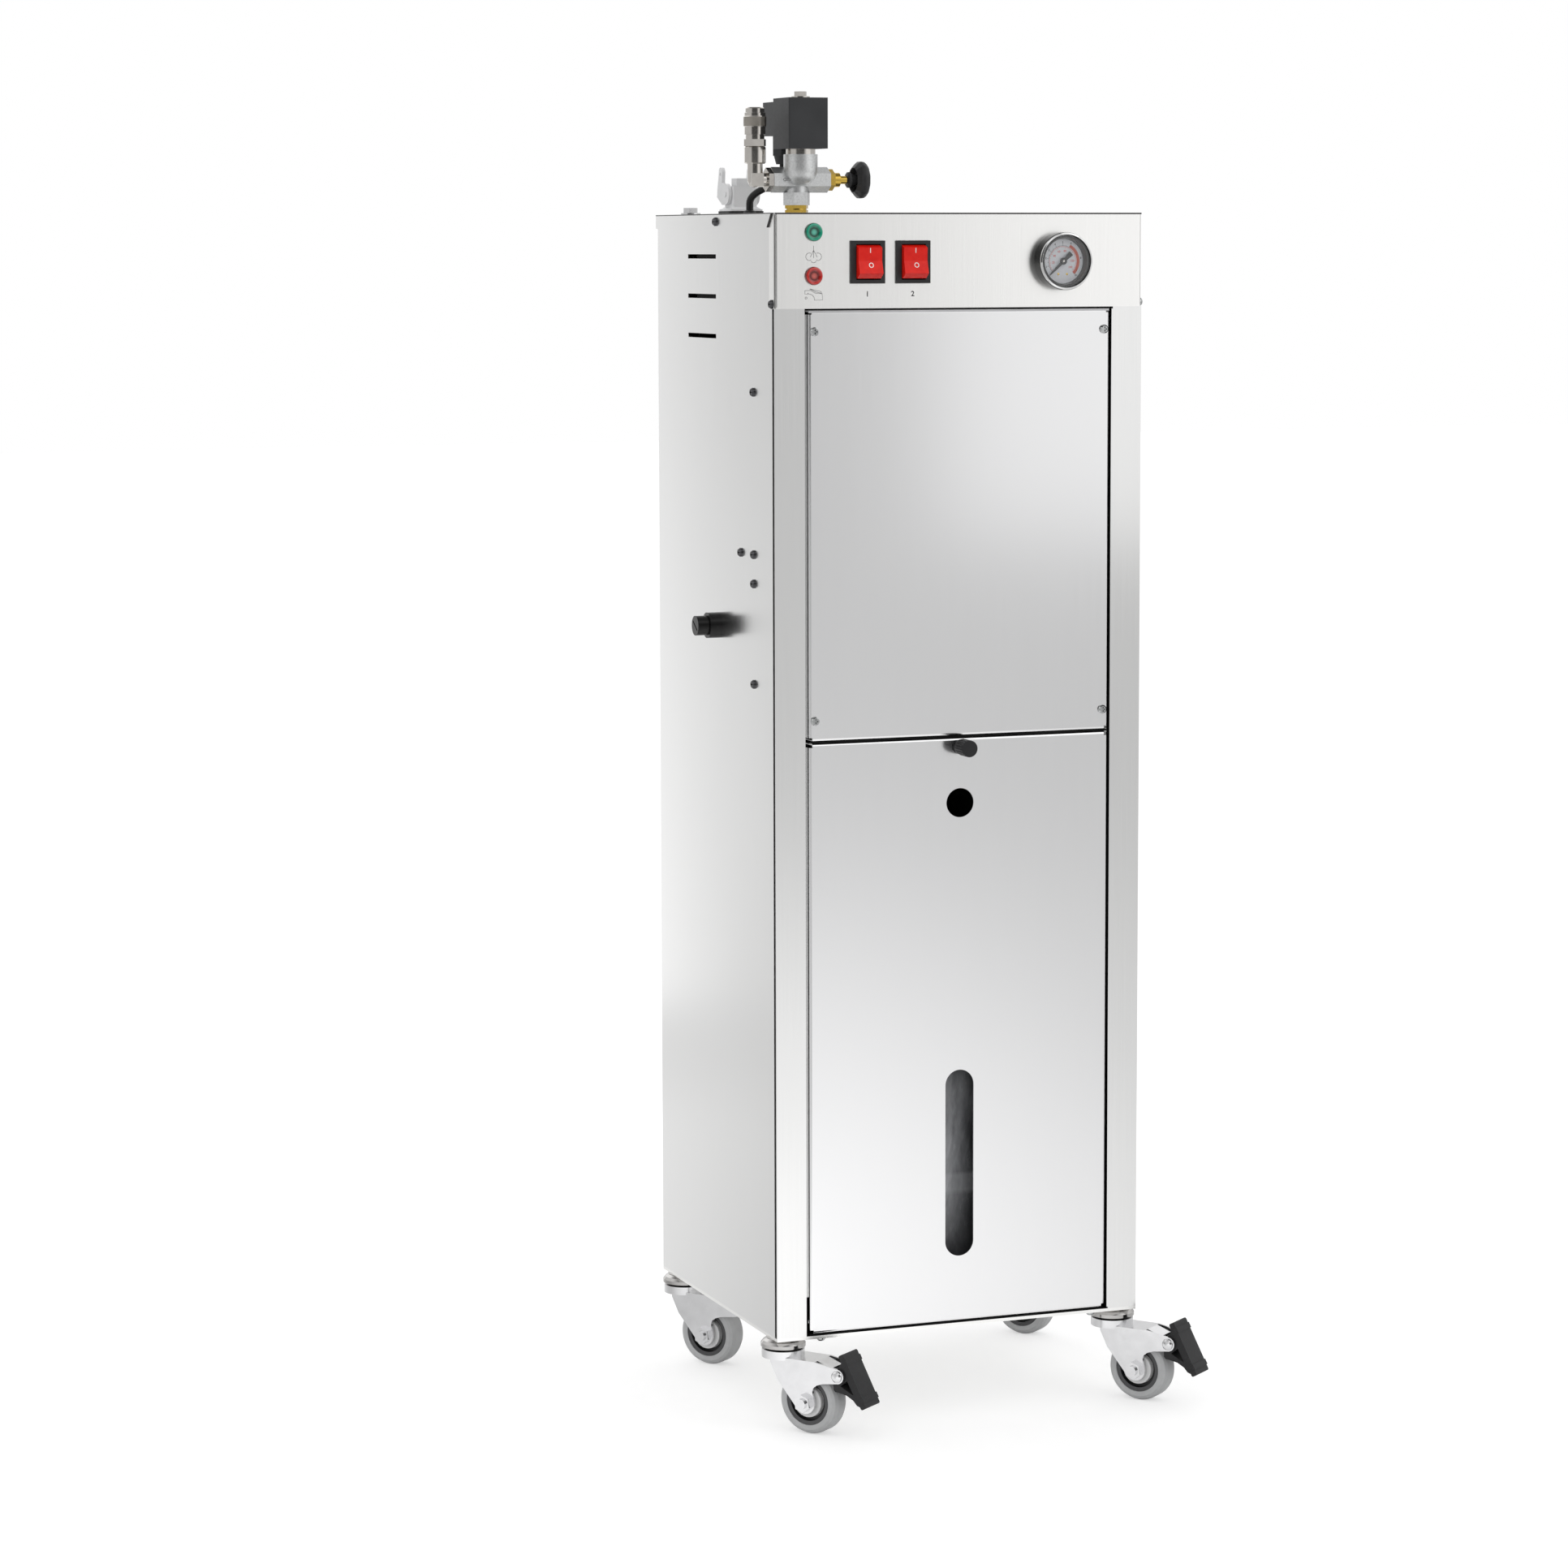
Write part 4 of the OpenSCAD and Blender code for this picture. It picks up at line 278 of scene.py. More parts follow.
def rocker_red():
    """Red plastic that light sinks into a little."""
    made = Finish("rocker_red", (0.72, 0.012, 0.006), 0.22, Subsurface_Weight=0.25,
                  Subsurface_Radius=(0.004, 0.0006, 0.0004), Subsurface_Scale=0.5, Coat_Weight=0.08,
                  Specular_IOR_Level=0.22)
    cloud = made.noise(180.0, 2.0)
    made.colour_by(made.ranged(cloud, 0.3, 0.7), (0.68, 0.008, 0.004), (0.78, 0.014, 0.006))
    made.rough_by(cloud, 0.18, 0.28)
    return made.material


def clear_glass():
    """Glass with a faint haze in patches."""
    made = Finish("gauge_glass", (0.97, 0.98, 0.98), 0.03, IOR=1.45, Transmission_Weight=1.0)
    made.rough_by(made.noise(40.0, 2.0), 0.01, 0.05)
    return made.material


# Radii of the caster wheel in metres, each as the span of a soft border
WHEEL_HUB = (0.0119, 0.0121)
WHEEL_CORE = (0.0148, 0.0150)
WHEEL_TYRE = (0.01785, 0.01805)


def wheel_rubber(centre, axle):
    """Pale hub, black core and grey tyre, by the distance from the axle."""
    made = Finish("wheel_rubber", (0.2, 0.2, 0.2), 0.5)
    offset = made.vector("SUBTRACT", made.place, centre)
    radius = made.vector("LENGTH", made.vector("CROSS_PRODUCT", offset, axle), result="Value")
    cloud = made.ranged(made.noise(120.0, 4.0, 0.6), 0.3, 0.7)
    tyre = made.blended(cloud, (0.49, 0.495, 0.50), (0.55, 0.555, 0.56))
    ring = made.blended(made.ranged(radius, *WHEEL_CORE), (0.012, 0.012, 0.013), (0.075, 0.075, 0.078))
    core = made.blended(made.ranged(radius, *WHEEL_HUB, 1.0, 0.0), ring, (0.80, 0.80, 0.80))
    made.colour_by(made.ranged(radius, *WHEEL_TYRE), core, tyre)
    made.bump(made.noise(1500.0, 3.0), 0.3, 0.0001)
    return made.material


# Heights on the feed tank in metres
TANK_FOOT = (0.115, 0.165)
WATER_LINE_LOW = (0.166, 0.170)
WATER_LINE_HIGH = (0.181, 0.184)


def murky_tank():
    """Smoky plastic with soft upright folds, streaks, and a pale line where the water stands, darker towards
    the foot; the folds' light and dark bands and the bright streaks are painted light and shade.
    """
    made = Finish("murky_tank", (0.1, 0.1, 0.1), 0.24, Coat_Weight=0.2, Coat_Roughness=0.1)
    parts = made.split()
    sway = made.ranged(made.noise(9.0, 2.0), 0.2, 0.8, -1.3, 1.3)
    turn = made.maths("ADD", made.maths("MULTIPLY_ADD", parts["X"], -92.0, 0.55), sway)
    # Painted light and shade: the upright folds as light and dark bands
    painted_fold_shade = made.ranged(made.maths("SINE", turn), -0.5, 0.8, 0.12, 1.0)
    streak = made.noise(60.0, 5.0, 0.68, (1, 1, 0.30))
    # Painted highlight: long slanting bright streaks, added to the brightness of the streaks below
    painted_flare = made.noise(85.0, 5.0, 0.5, (1, 1, 0.12), (0, math.radians(14), 0))
    painted_sheen = made.maths("ADD", made.ranged(painted_flare, 0.48, 0.74, 0.0, 0.9),
                      made.ranged(streak, 0.32, 0.68, 0.45, 1.15))
    painted_film_light = made.maths("MULTIPLY", painted_fold_shade, painted_sheen)
    line = made.maths("MULTIPLY", made.ranged(parts["Z"], *WATER_LINE_LOW),
                      made.ranged(parts["Z"], *WATER_LINE_HIGH, 1.0, 0.0))
    depth = made.ranged(parts["Z"], *TANK_FOOT, 0.35, 1.0)
    tone = made.maths("MULTIPLY", made.maths("MULTIPLY_ADD", line, 0.28, painted_film_light), depth)
    made.colour_by(made.ranged(tone, 0.0, 1.6), (0.012, 0.013, 0.015), (0.66, 0.67, 0.70))
    made.rough_by(streak, 0.18, 0.34)
    made.bump(streak, 0.2, 0.002)
    return made.material


def split_finish(name, axis, border, near, far, rough, metal, width):
    """One finish below a border along an axis and another above it, in colour, roughness and metal."""
    made = Finish(name, near, rough[0], metal[0])
    share = made.ranged(made.split()[axis], border - width, border + width)
    blotch = made.ranged(made.noise(150.0, 3.0), 0.3, 0.7, 0.88, 1.0)
    tint = made.node("ShaderNodeVectorMath", operation="SCALE")
    made.feed(made.blended(share, near, far), tint.inputs[0])
    made.feed(blotch, tint.inputs["Scale"])
    made.feed(tint.outputs[0], made.inputs["Base Color"])
    made.rough_by(share, *rough)
    if metal[0] != metal[1]:
        made.feed(made.ranged(share, 0, 1, *metal), made.inputs["Metallic"])
    made.bump(made.noise(600.0, 2.0), 0.05, 0.0001)
    return made.material


# The valve's axis and the knurl on its coupler, in millimetres
VALVE_Y = -46.14
COUPLER_X = -148.43
KNURL_LOW = 974.3
KNURL_RADIUS = 8.5
KNURL_LENGTH = 6.8


def knurled_nickel():
    """Nickel with a diamond knurl round the coupler's axis, with painted shade in its grooves."""
    made = Finish("knurled_nickel", (0.6, 0.58, 0.55), 0.3, 1.0)
    foot = (COUPLER_X / 1000, VALVE_Y / 1000, KNURL_LOW / 1000)
    parts = made.split(made.stretched(centre=foot))
    turn = made.maths("MULTIPLY", made.maths("ARCTAN2", parts["Y"], parts["X"]), 25.0)
    rise = made.maths("MULTIPLY", parts["Z"], 2950.0)
    ridges = [made.maths("ABSOLUTE", made.maths("SINE", made.maths(action, turn, rise)))
              for action in ("ADD", "SUBTRACT")]
    ridge = made.ranged(made.maths("MINIMUM", *ridges), 0.0, 0.75)
    # Painted shade: the grooves of the knurl darker than its ridges
    made.colour_by(ridge, (0.13, 0.115, 0.095), (0.66, 0.62, 0.56))
    made.rough_by(ridge, 0.45, 0.22)
    made.bump(ridge, 0.8, 0.0003)
    return made.material


# Middles of the green and the red lamp in metres, and the height between them
LAMP_X = -0.12883
LAMP_HEIGHTS = (0.8958, 0.8639)
LAMP_MIDDLE = 0.87985
LAMP_BLEND = 0.001


def lamp_lens():
    """A green and a red lens with painted light: a painted highlight in the middle, a painted dark ring of
    shade round it, full colour, and a painted shaded edge.
    """
    made = Finish("lamp_lens", (0.0, 0.2, 0.1), 0.12, Coat_Weight=0.6, Coat_Roughness=0.03)
    parts = made.split()
    upper = made.ranged(parts["Z"], LAMP_MIDDLE - LAMP_BLEND, LAMP_MIDDLE + LAMP_BLEND)
    distances = [made.vector("DISTANCE", made.flat(parts, "X", "Z"), (LAMP_X, 0, height), "Value")
                 for height in LAMP_HEIGHTS]
    radius = made.maths("MINIMUM", *distances)
    # Painted highlight in the middle, painted shade in a ring round it and at the rim
    spot = made.ranged(radius, 0.0012, 0.0028, 1.0, 0.0)
    ring = made.ranged(radius, 0.0032, 0.0052)
    shaded_rim = made.ranged(radius, 0.0060, 0.0064)
    lenses = []
    for pale, dark, full, edge_shade in (
            ((0.55, 0.10, 0.08), (0.12, 0.002, 0.002), (0.56, 0.016, 0.010), (0.16, 0.004, 0.004)),
            ((0.10, 0.46, 0.34), (0.00, 0.055, 0.03), (0.00, 0.32, 0.19), (0.00, 0.09, 0.05))):
        inside = made.blended(ring, made.blended(spot, dark, pale), full)
        lenses.append(made.blended(shaded_rim, inside, edge_shade))
    made.colour_by(upper, *lenses)
    made.bump(made.noise(400.0, 2.0), 0.04, 0.0001)
    return made.material


red_rocker = rocker_red()
glass = clear_glass()
lens = lamp_lens()
knurl = knurled_nickel()
gauge_shell = split_finish("gauge_shell", "Y", -0.1266, (0.80, 0.80, 0.80), (0.010, 0.010, 0.009),
                           (0.06, 0.16), (1.0, 0.0), 0.0001)
# Painted shade: the screws darker than zinc, and near black on the left side
screw_zinc_shaded = split_finish("screw_zinc_shaded", "X", -0.150, (0.10, 0.10, 0.105), (0.50, 0.51, 0.51),
                          (0.25, 0.14), (1.0, 1.0), 0.002)
black_ink = moulded("black_ink", (0.020, 0.020, 0.022), 0.45, 800.0, 0.02)
grey_ink = moulded("grey_ink", (0.090, 0.090, 0.092), 0.45, 800.0, 0.02)
white_ink = moulded("white_ink", (0.80, 0.74, 0.72), 0.40, 800.0, 0.02)
red_ink = moulded("red_ink", (0.62, 0.10, 0.09), 0.45, 800.0, 0.02)
band_orange = moulded("band_orange", (0.62, 0.085, 0.035), 0.45, 800.0, 0.02)
# Painted shade for the gaps between sheets and behind the vents
shade_black = moulded("shade_black", (0.004, 0.004, 0.004), 0.7, 300.0, 0.1, shine=0.1)
# Painted shade for dark lines along folds and edges
painted_bend_shade = moulded("painted_bend_shade", (0.026, 0.025, 0.024), 0.35, 300.0, 0.1, shine=0.3)


def dress(node, material):
    """Gives a node of the frame one finish."""
    mesh = nodes[node].data
    mesh.materials.clear()
    mesh.materials.append(material)


for name, material in {
    "base_tray": grain_steel, "side_panel_left": side_steel, "side_panel_right": side_steel,
    "back_panel": side_steel, "front_frame": post_steel, "header_panel": grain_steel, "top_lid": side_steel,
    "upper_panel": bright_steel, "door": bright_steel, "shelf": side_steel, "panel_screws": screw_zinc_shaded,
    "boiler_vessel": vessel_steel, "heating_element": copper, "safety_valve": brass,
    "pressure_switch": soft_black, "feed_pump": pump_black, "water_tank": murky_tank(),
    "feed_hoses": hose_white, "steam_pipes": copper, "control_board": board_green, "cable_gland": soft_black,
    "gauge_case": gauge_shell, "gauge_dial": dial_white, "gauge_glass": glass, "gauge_needle": frame_black,
    "indicator_lamps": lens, "switch_frames": frame_black, "left_rocker": red_rocker,
    "right_rocker": red_rocker, "outlet_nipple": brass, "valve_body": cast_zinc, "armature_tube": nickel,
    "valve_plunger": nickel, "solenoid_coil": coil_black, "cable_connector": coil_black,
    "coil_cable": gloss_black, "outlet_elbow": nickel, "coupler_body": nickel, "coupler_sleeve": nickel,
    "needle_bonnet": brass, "hand_knob": knob_black, "socket_housing": socket_grey,
    "socket_gasket": soft_black, "socket_lever": socket_grey, "lid_bolt": zinc, "fuse_holder": gloss_black,
    "fuse_cap": gloss_black, "door_knob": knob_black, "hinge_brackets": zinc, "caster_mounts": swivel_zinc_dark_reflection,
    "fork_front_left": fork_zinc, "fork_front_right": fork_zinc, "fork_rear_left": fork_zinc,
    "fork_rear_right": fork_zinc, "brake_pedal_left": soft_black, "brake_pedal_right": soft_black,
}.items():
    dress(name, material)

for joint in frame["joints"]:
    if joint["child"].startswith("wheel_"):
        dress(joint["child"], wheel_rubber(joint["pos_m"], joint["axis"]))


# Shapes

MM = 0.001
FACING_FRONT = Matrix.Rotation(math.radians(90), 4, "X")


def at(x, y, z):
    """A place in millimetres."""
    return Matrix.Translation((x * MM, y * MM, z * MM))


def put(shape, name, finish, body="cabinet", smooth=40):
    """Turns a shape into a finished piece that rides on a body."""
    bmesh.ops.recalc_face_normals(shape, faces=shape.faces)
    mesh = bpy.data.meshes.new(name)
    shape.to_mesh(mesh)
    shape.free()
    for face in mesh.polygons:
        face.use_smooth = True
    mesh.set_sharp_from_angle(angle=math.radians(smooth))
    mesh.materials.append(finish)
    piece = bpy.data.objects.new(name, mesh)
    bpy.context.scene.collection.objects.link(piece)
    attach(piece, body)
    return piece


def turned(profile, steps=64, ring=False):
    """A profile of (radius, height) pairs turned about Z, closed on itself if it is a ring."""
    shape = bmesh.new()
    dots = [shape.verts.new((radius * MM, 0, height * MM)) for radius, height in profile]
    pairs = list(zip(dots, dots[1:])) + ([(dots[-1], dots[0])] if ring else [])
    edges = [shape.edges.new(pair) for pair in pairs]
    bmesh.ops.spin(shape, geom=dots + edges, axis=(0, 0, 1), cent=(0, 0, 0), angle=2 * math.pi,
                   steps=steps, use_merge=True)
    bmesh.ops.remove_doubles(shape, verts=shape.verts, dist=1e-7)
    return shape


def joined(*shapes):
    """Several shapes as one."""
    whole = bmesh.new()
    for shape in shapes:
        mesh = bpy.data.meshes.new("part")
        shape.to_mesh(mesh)
        shape.free()
        whole.from_mesh(mesh)
        bpy.data.meshes.remove(mesh)
    return whole


def placed(shape, matrix):
    """The same shape, moved by a matrix."""
    shape.transform(matrix)
    return shape


def meshed(curve, thickness):
    """A curve or text as a flat mesh of the given thickness."""
    holder = bpy.data.objects.new("holder", curve)
    mesh = bpy.data.meshes.new_from_object(holder)
    shape = bmesh.new()
    shape.from_mesh(mesh)
    bpy.data.objects.remove(holder)
    bpy.data.meshes.remove(mesh)
    tall = max((abs(vert.co.z) for vert in shape.verts), default=1.0) or 1.0
    shape.transform(Matrix.Diagonal((1, 1, thickness * MM / tall, 1)))
    return shape


def lined(lines, width, thickness=0.03):
    """Printed or engraved lines through points in millimetres."""
    curve = bpy.data.curves.new("lines", "CURVE")
    curve.dimensions = "3D"
    curve.bevel_depth = 0.5 * width * MM
    curve.bevel_resolution = 1
    curve.use_fill_caps = True
    for line in lines:
        spline = curve.splines.new("POLY")
        spline.points.add(len(line) - 1)
        for point, (x, y) in zip(spline.points, line):
            point.co = (x * MM, y * MM, 0, 1)
    return meshed(curve, thickness)


def figure(text, size, x=0.0, y=0.0, thickness=0.03):
    """A number in the plain built-in face, centred on a point."""
    curve = bpy.data.curves.new("figure", "FONT")
    curve.body = text
    curve.size = size * MM
    curve.extrude = 0.02 * MM
    curve.offset = 0.02 * size * MM
    curve.resolution_u = 4
    curve.align_x = "CENTER"
    curve.align_y = "CENTER"
    return placed(meshed(curve, thickness), at(x, y, 0))


def arc(x, y, radius, start, end, steps=16):
    """Points on an arc, with angles in degrees from the right, turning left."""
    angles = [math.radians(start + (end - start) * i / steps) for i in range(steps + 1)]
    return [(x + radius * math.cos(a), y + radius * math.sin(a)) for a in angles]


def laid_on(shape, node, lift=0.02):
    """Drops a print that faces the front onto the surface of a node behind it."""
    mesh = nodes[node].data
    skin = BVHTree.FromPolygons([v.co for v in mesh.vertices], [p.vertices for p in mesh.polygons])
    for vert in shape.verts:
        spot = skin.ray_cast(Vector((vert.co.x, -1, vert.co.z)), Vector((0, 1, 0)))[0]
        if spot:
            vert.co.y += spot.y - lift * MM
    return shape


def bar(low, high, bevel=0.1):
    """A straight strip between two corners, with its edges broken."""
    shape = bmesh.new()
    bmesh.ops.create_cube(shape, size=1)
    size = [(b - a) * MM for a, b in zip(low, high)]
    shape.transform(Matrix.Diagonal((*size, 1)))
    bmesh.ops.bevel(shape, geom=shape.edges[:], offset=min(bevel * MM, 0.3 * min(size)), segments=1,
                    profile=0.5, affect="EDGES", material=-1)
    return placed(shape, at(*[(a + b) / 2 for a, b in zip(low, high)]))


# Cable and hoses

# From the drawing's origin to the frame's, in millimetres
SHIFT = Vector((-12.03, 13.86, 0))
GROMMET = (-126, -20, 910)


def flexible(name, node, finish, radius, start, way, lead, end, end_way, end_lead, bend):
    """A cable or hose that leaves each end straight and bends over between them."""
    start, way, end, end_way = (Vector(v) for v in (start, way, end, end_way))
    corners = [start, start + lead * way, end + end_lead * end_way, end]
    curve = bpy.data.curves.new(name, "CURVE")
    curve.dimensions = "3D"
    curve.bevel_depth = radius * MM
    curve.bevel_resolution = 5
    curve.resolution_u = 20
    curve.use_fill_caps = True
    spline = curve.splines.new("BEZIER")
    spline.bezier_points.add(3)
    tails = [(start, start + lead / 3 * way),
             (corners[1] - lead / 3 * way, corners[1] + bend * way),
             (corners[2] + bend * end_way, corners[2] - end_lead / 3 * end_way),
             (end + end_lead / 3 * end_way, end)]
    for point, corner, (left, right) in zip(spline.bezier_points, corners, tails):
        point.handle_left_type = point.handle_right_type = "FREE"
        point.co, point.handle_left, point.handle_right = ((v + SHIFT) * MM for v in (corner, left, right))
    curve.materials.append(finish)
    piece = bpy.data.objects.new(name, curve)
    bpy.context.scene.collection.objects.link(piece)
    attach(piece, "cabinet")
    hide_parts(node)
    return piece


flexible("coil_lead", "coil_cable", gloss_black, radius=2.75,
         start=(-106, -38.7, 946.7), way=(0, 0, -1), lead=5,
         end=(-126, -20, 912.5), end_way=(0, 0, 1), end_lead=5, bend=12)
flexible("suction_hose", "feed_hoses", hose_white, radius=4,
         start=(-102.5, 62, 527.2), way=(0, 0, -1), lead=14,
         end=(-20, -13, 85.2), end_way=(0, 0, 1), end_lead=360, bend=45)
flexible("pressure_hose", "feed_hoses", hose_white, radius=4,
         start=(-102.5, 62, 589.2), way=(0, 0, 1), lead=14,
         end=(-51, 20, 629.993), end_way=(-1, 0, 0), end_lead=14, bend=24)
grommet = put(placed(turned([(0, -1), (4.9, -1), (4.9, 0.4), (4.4, 1.6), (3.4, 2.4), (0, 2.5)], 40),
                     Matrix.Translation(SHIFT * MM) @ at(*GROMMET)), "lead_grommet", soft_black)
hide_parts("coil_cable")


# Header

HEADER_Y = -116.14
SWITCHES = (("left", "1", -86.53), ("right", "2", -50.53))
SWITCH_NUMBER_Z = 850.4


def header_prints():
    """Line drawings of steam and of a tap under the lamps, and a number under each switch."""
    steam = [
        [(0, 885.9), (0, 882.8)],
        [(0, 882.6), (-2.6, 877.6)], [(0, 882.0), (0, 877.0)], [(0, 882.6), (2.8, 877.6)],
        arc(-3.4, 877.9, 2.75, 62, 300), arc(0, 875.6, 2.1, 205, 335), arc(3.4, 877.9, 2.75, 240, 478),
    ]
    tap = [
        [(-3.2, 854.6), (-0.8, 853.9), (5.6, 852.6), (6.2, 851.4)],
        [(-3.2, 854.6), (1.2, 852.4), (6.4, 851.2)],
        [(-6.9, 853.2), (-2.4, 853.4), (1.2, 851.4), (6.6, 850.9), (7.1, 846.4), (0.6, 846.2), (0.4, 848.2),
         (-1.4, 850.2), (-4.4, 851.0), (-4.6, 851.6)],
        [(-6.9, 853.2), (-6.9, 850.6), (-4.6, 850.6), (-4.6, 851.6)],
        arc(-6.0, 847.9, 0.75, 0, 360),
    ]
    for name, lines in (("steam_drawing", steam), ("tap_drawing", tap)):
        shape = placed(lined(lines, 0.34), Matrix.Translation((LAMP_X, 0, 0)) @ FACING_FRONT)
        put(laid_on(shape, "header_panel"), name, grey_ink)
    for _, number, x in SWITCHES:
        shape = placed(figure(number, 5.4, x, SWITCH_NUMBER_Z), FACING_FRONT)
        put(laid_on(shape, "header_panel"), "switch_number_" + number, black_ink)


def rocker_marks():
    """The line and the ring on each rocker."""
    for side, _, x in SWITCHES:
        node = side + "_rocker"
        line = placed(lined([[(x, 880.6), (x, 884.2)]], 0.62), FACING_FRONT)
        ring = placed(lined([arc(x + 0.4, 871.6, 1.6, 0, 360, 24)], 0.6), FACING_FRONT)
        put(joined(laid_on(line, node), laid_on(ring, node)), node + "_marks", white_ink, node)


# Between the posts: the ends of the joints across, and of the right post's joint upward
GAP_LEFT, GAP_RIGHT = -133.2, 109.1
GAP_LOW, GAP_HIGH = 73.5, 838.5


def seams():
    """Painted shade round the header and the panels: dark strips on the sheets' folds and edges, black strips
    in their gaps, and black sheets behind the vents.
    """
    corner_fold = at(-160.18, -107.65, 904.6) @ Matrix.Rotation(math.radians(40.3), 4, "X")
    # Painted shade: dark strips along the lid's front and left edges, the header's left edge and the corner
    # fold
    put(joined(
        bar((-159.2, HEADER_Y - 0.06, 908.85), (135.2, HEADER_Y + 0.1, 909.95)),
        bar((-160.79, -111.5, 909.2), (-160.6, 145.0, 909.96)),
        bar((-159.59, HEADER_Y - 0.03, 840.3), (-159.45, HEADER_Y + 0.75, 908.7)),
        placed(bar((-0.64, -0.2, -6.9), (0.62, 0.05, 6.9)), corner_fold),
    ), "fold_shade_strips", painted_bend_shade)
    # Painted shade: a grey strip over the upper panel's top fold
    put(bar((-133.0, -116.18, 836.7), (109.0, -115.2, 838.75), 0.45), "panel_fold_shade", vessel_steel)
    # Painted shade: black strips in the gaps above and below the panels and along the right post's return
    put(joined(
        bar((GAP_LEFT, -115.7, 838.7), (GAP_RIGHT, -107.0, 840.1)),
        bar((GAP_LEFT, -115.7, 519.6), (GAP_RIGHT, -108.0, 520.75)),
        bar((GAP_LEFT, -115.2, 72.35), (GAP_RIGHT, -109.0, 73.4)),
        bar((111.72, -113.5, GAP_LOW), (112.0, -108.5, GAP_HIGH)),
    ), "gap_shade_strips", shade_black)
    put(bar((110.9, -116.12, 73.6), (112.1, -115.75, 838.4)), "post_lip", post_steel)
    # Painted shade: black sheets behind the vent slots in the sides and the back
    put(joined(
        bar((-156.9, -40.0, 820.0), (-156.0, 60.0, 896.0), 0.3),
        bar((132.0, -40.0, 820.0), (132.9, 60.0, 896.0), 0.3),
        bar((-125.0, 141.3, 745.0), (101.0, 142.2, 900.0), 0.3),
    ), "vent_shade_sheets", shade_black)


# Gauge

GAUGE_X, GAUGE_Z = 68.77, 874.0
DIAL_Y = -119.62
DIAL_PLACE = at(GAUGE_X, DIAL_Y - 0.01, GAUGE_Z) @ FACING_FRONT
BAR_RING = 11.5
POUND_RING = 10.9
BARS_IN_A_POUND = 0.0689476
RED_FROM = 6


def on_scale(radius, bars):
    """A point on the dial, on a scale of 0 to 10 bar over 270 degrees."""
    turn = math.radians(27 * bars - 135)
    return radius * math.sin(turn), radius * math.cos(turn)


def dial_prints():
    """Bar scale outside, pound scale inside, and the red band from 6 to 10 bar."""
    outer = [[on_scale(BAR_RING, b), on_scale(12.9, b)] for b in range(11)]
    outer += [[on_scale(BAR_RING, b + 0.5), on_scale(12.2, b + 0.5)] for b in range(6)]
    outer += [[on_scale(BAR_RING, 0.25 * b) for b in range(25)]]
    numbers = [figure(str(b), 2.1, *on_scale(13.9 if b < RED_FROM else 14.8, b))
               for b in (1, 2, 3, 4, 5, 6, 8, 10)]
    put(placed(joined(lined(outer, 0.22), *numbers), DIAL_PLACE), "dial_bar_scale", black_ink)
    inner = [[on_scale(POUND_RING, 10 * b / 40) for b in range(41)]]
    for i in range(29):
        bars = BARS_IN_A_POUND * 5 * i
        inner.append([on_scale(POUND_RING, bars), on_scale(9.4 if i % 4 == 0 else 10.1, bars)])
    numbers = [figure(str(p), 2.2, *on_scale(7.7, BARS_IN_A_POUND * p)) for p in range(20, 160, 20)]
    put(placed(joined(lined(inner, 0.22), *numbers), DIAL_PLACE), "dial_pound_scale", red_ink)
    band = bmesh.new()
    ends = [band.verts.new((*[MM * c for c in on_scale(r, RED_FROM)], z * MM))
            for r, z in ((11.4, 0), (13.7, 0), (13.7, 0.05), (11.4, 0.05))]
    face = band.faces.new(ends)
    bmesh.ops.spin(band, geom=[face], axis=(0, 0, 1), cent=(0, 0, 0), angle=math.radians(-108), steps=24)
    put(placed(band, DIAL_PLACE), "dial_red_band", band_orange)


def gauge_parts():
    """Dark wall between glass and dial, two brass screws, and the needle's bright cap."""
    wall = turned([(18.25, 0.1), (18.25, 5.9), (17.3, 5.9), (16.9, 4.2), (16.45, 0.1)], 96, ring=True)
    put(placed(wall, DIAL_PLACE), "gauge_inner_wall", gloss_black)
    heads = [placed(turned([(0.0, 0.3), (0.5, 0.3), (0.85, 0.12), (0.9, 0.0), (0, 0)], 24), at(x, -9.6, 0))
             for x in (-3.55, 3.55)]
    put(placed(joined(*heads), DIAL_PLACE), "dial_screws", brass)
    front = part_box("gauge_needle")[0].y
    cap = turned([(0, 0.45), (0.45, 0.42), (0.8, 0.2), (0.85, 0.0), (0, 0.0)], 24)
    put(placed(cap, at(GAUGE_X, front / MM, GAUGE_Z) @ FACING_FRONT), "needle_cap", nickel, "gauge_needle")


# Steam valve

WHEEL_LOBES = 12
WHEEL_LENGTH = 15.4
# The lobes start outside the first radius and are deeper outside the second
LOBES_FROM = 5
DEEPER_FROM = 9
ARROW_X, ARROW_Z = -126.7, 934.9


def knurled(radius, length, around, along, depth):
    """A band of small pyramids about Z, with its ends turned in."""
    shape = turned([(radius - 3 * depth, 0)] + [(radius, length * i / along) for i in range(along + 1)]
                   + [(radius - 3 * depth, length)], around)
    for vert in shape.verts:
        column = round(math.atan2(vert.co.y, vert.co.x) * around / (2 * math.pi))
        row = round(vert.co.z / MM * along / length)
        if (column + row) % 2 and vert.co.xy.length > (radius - depth) * MM:
            share = 1 - depth / radius
            vert.co.x *= share
            vert.co.y *= share
    return shape


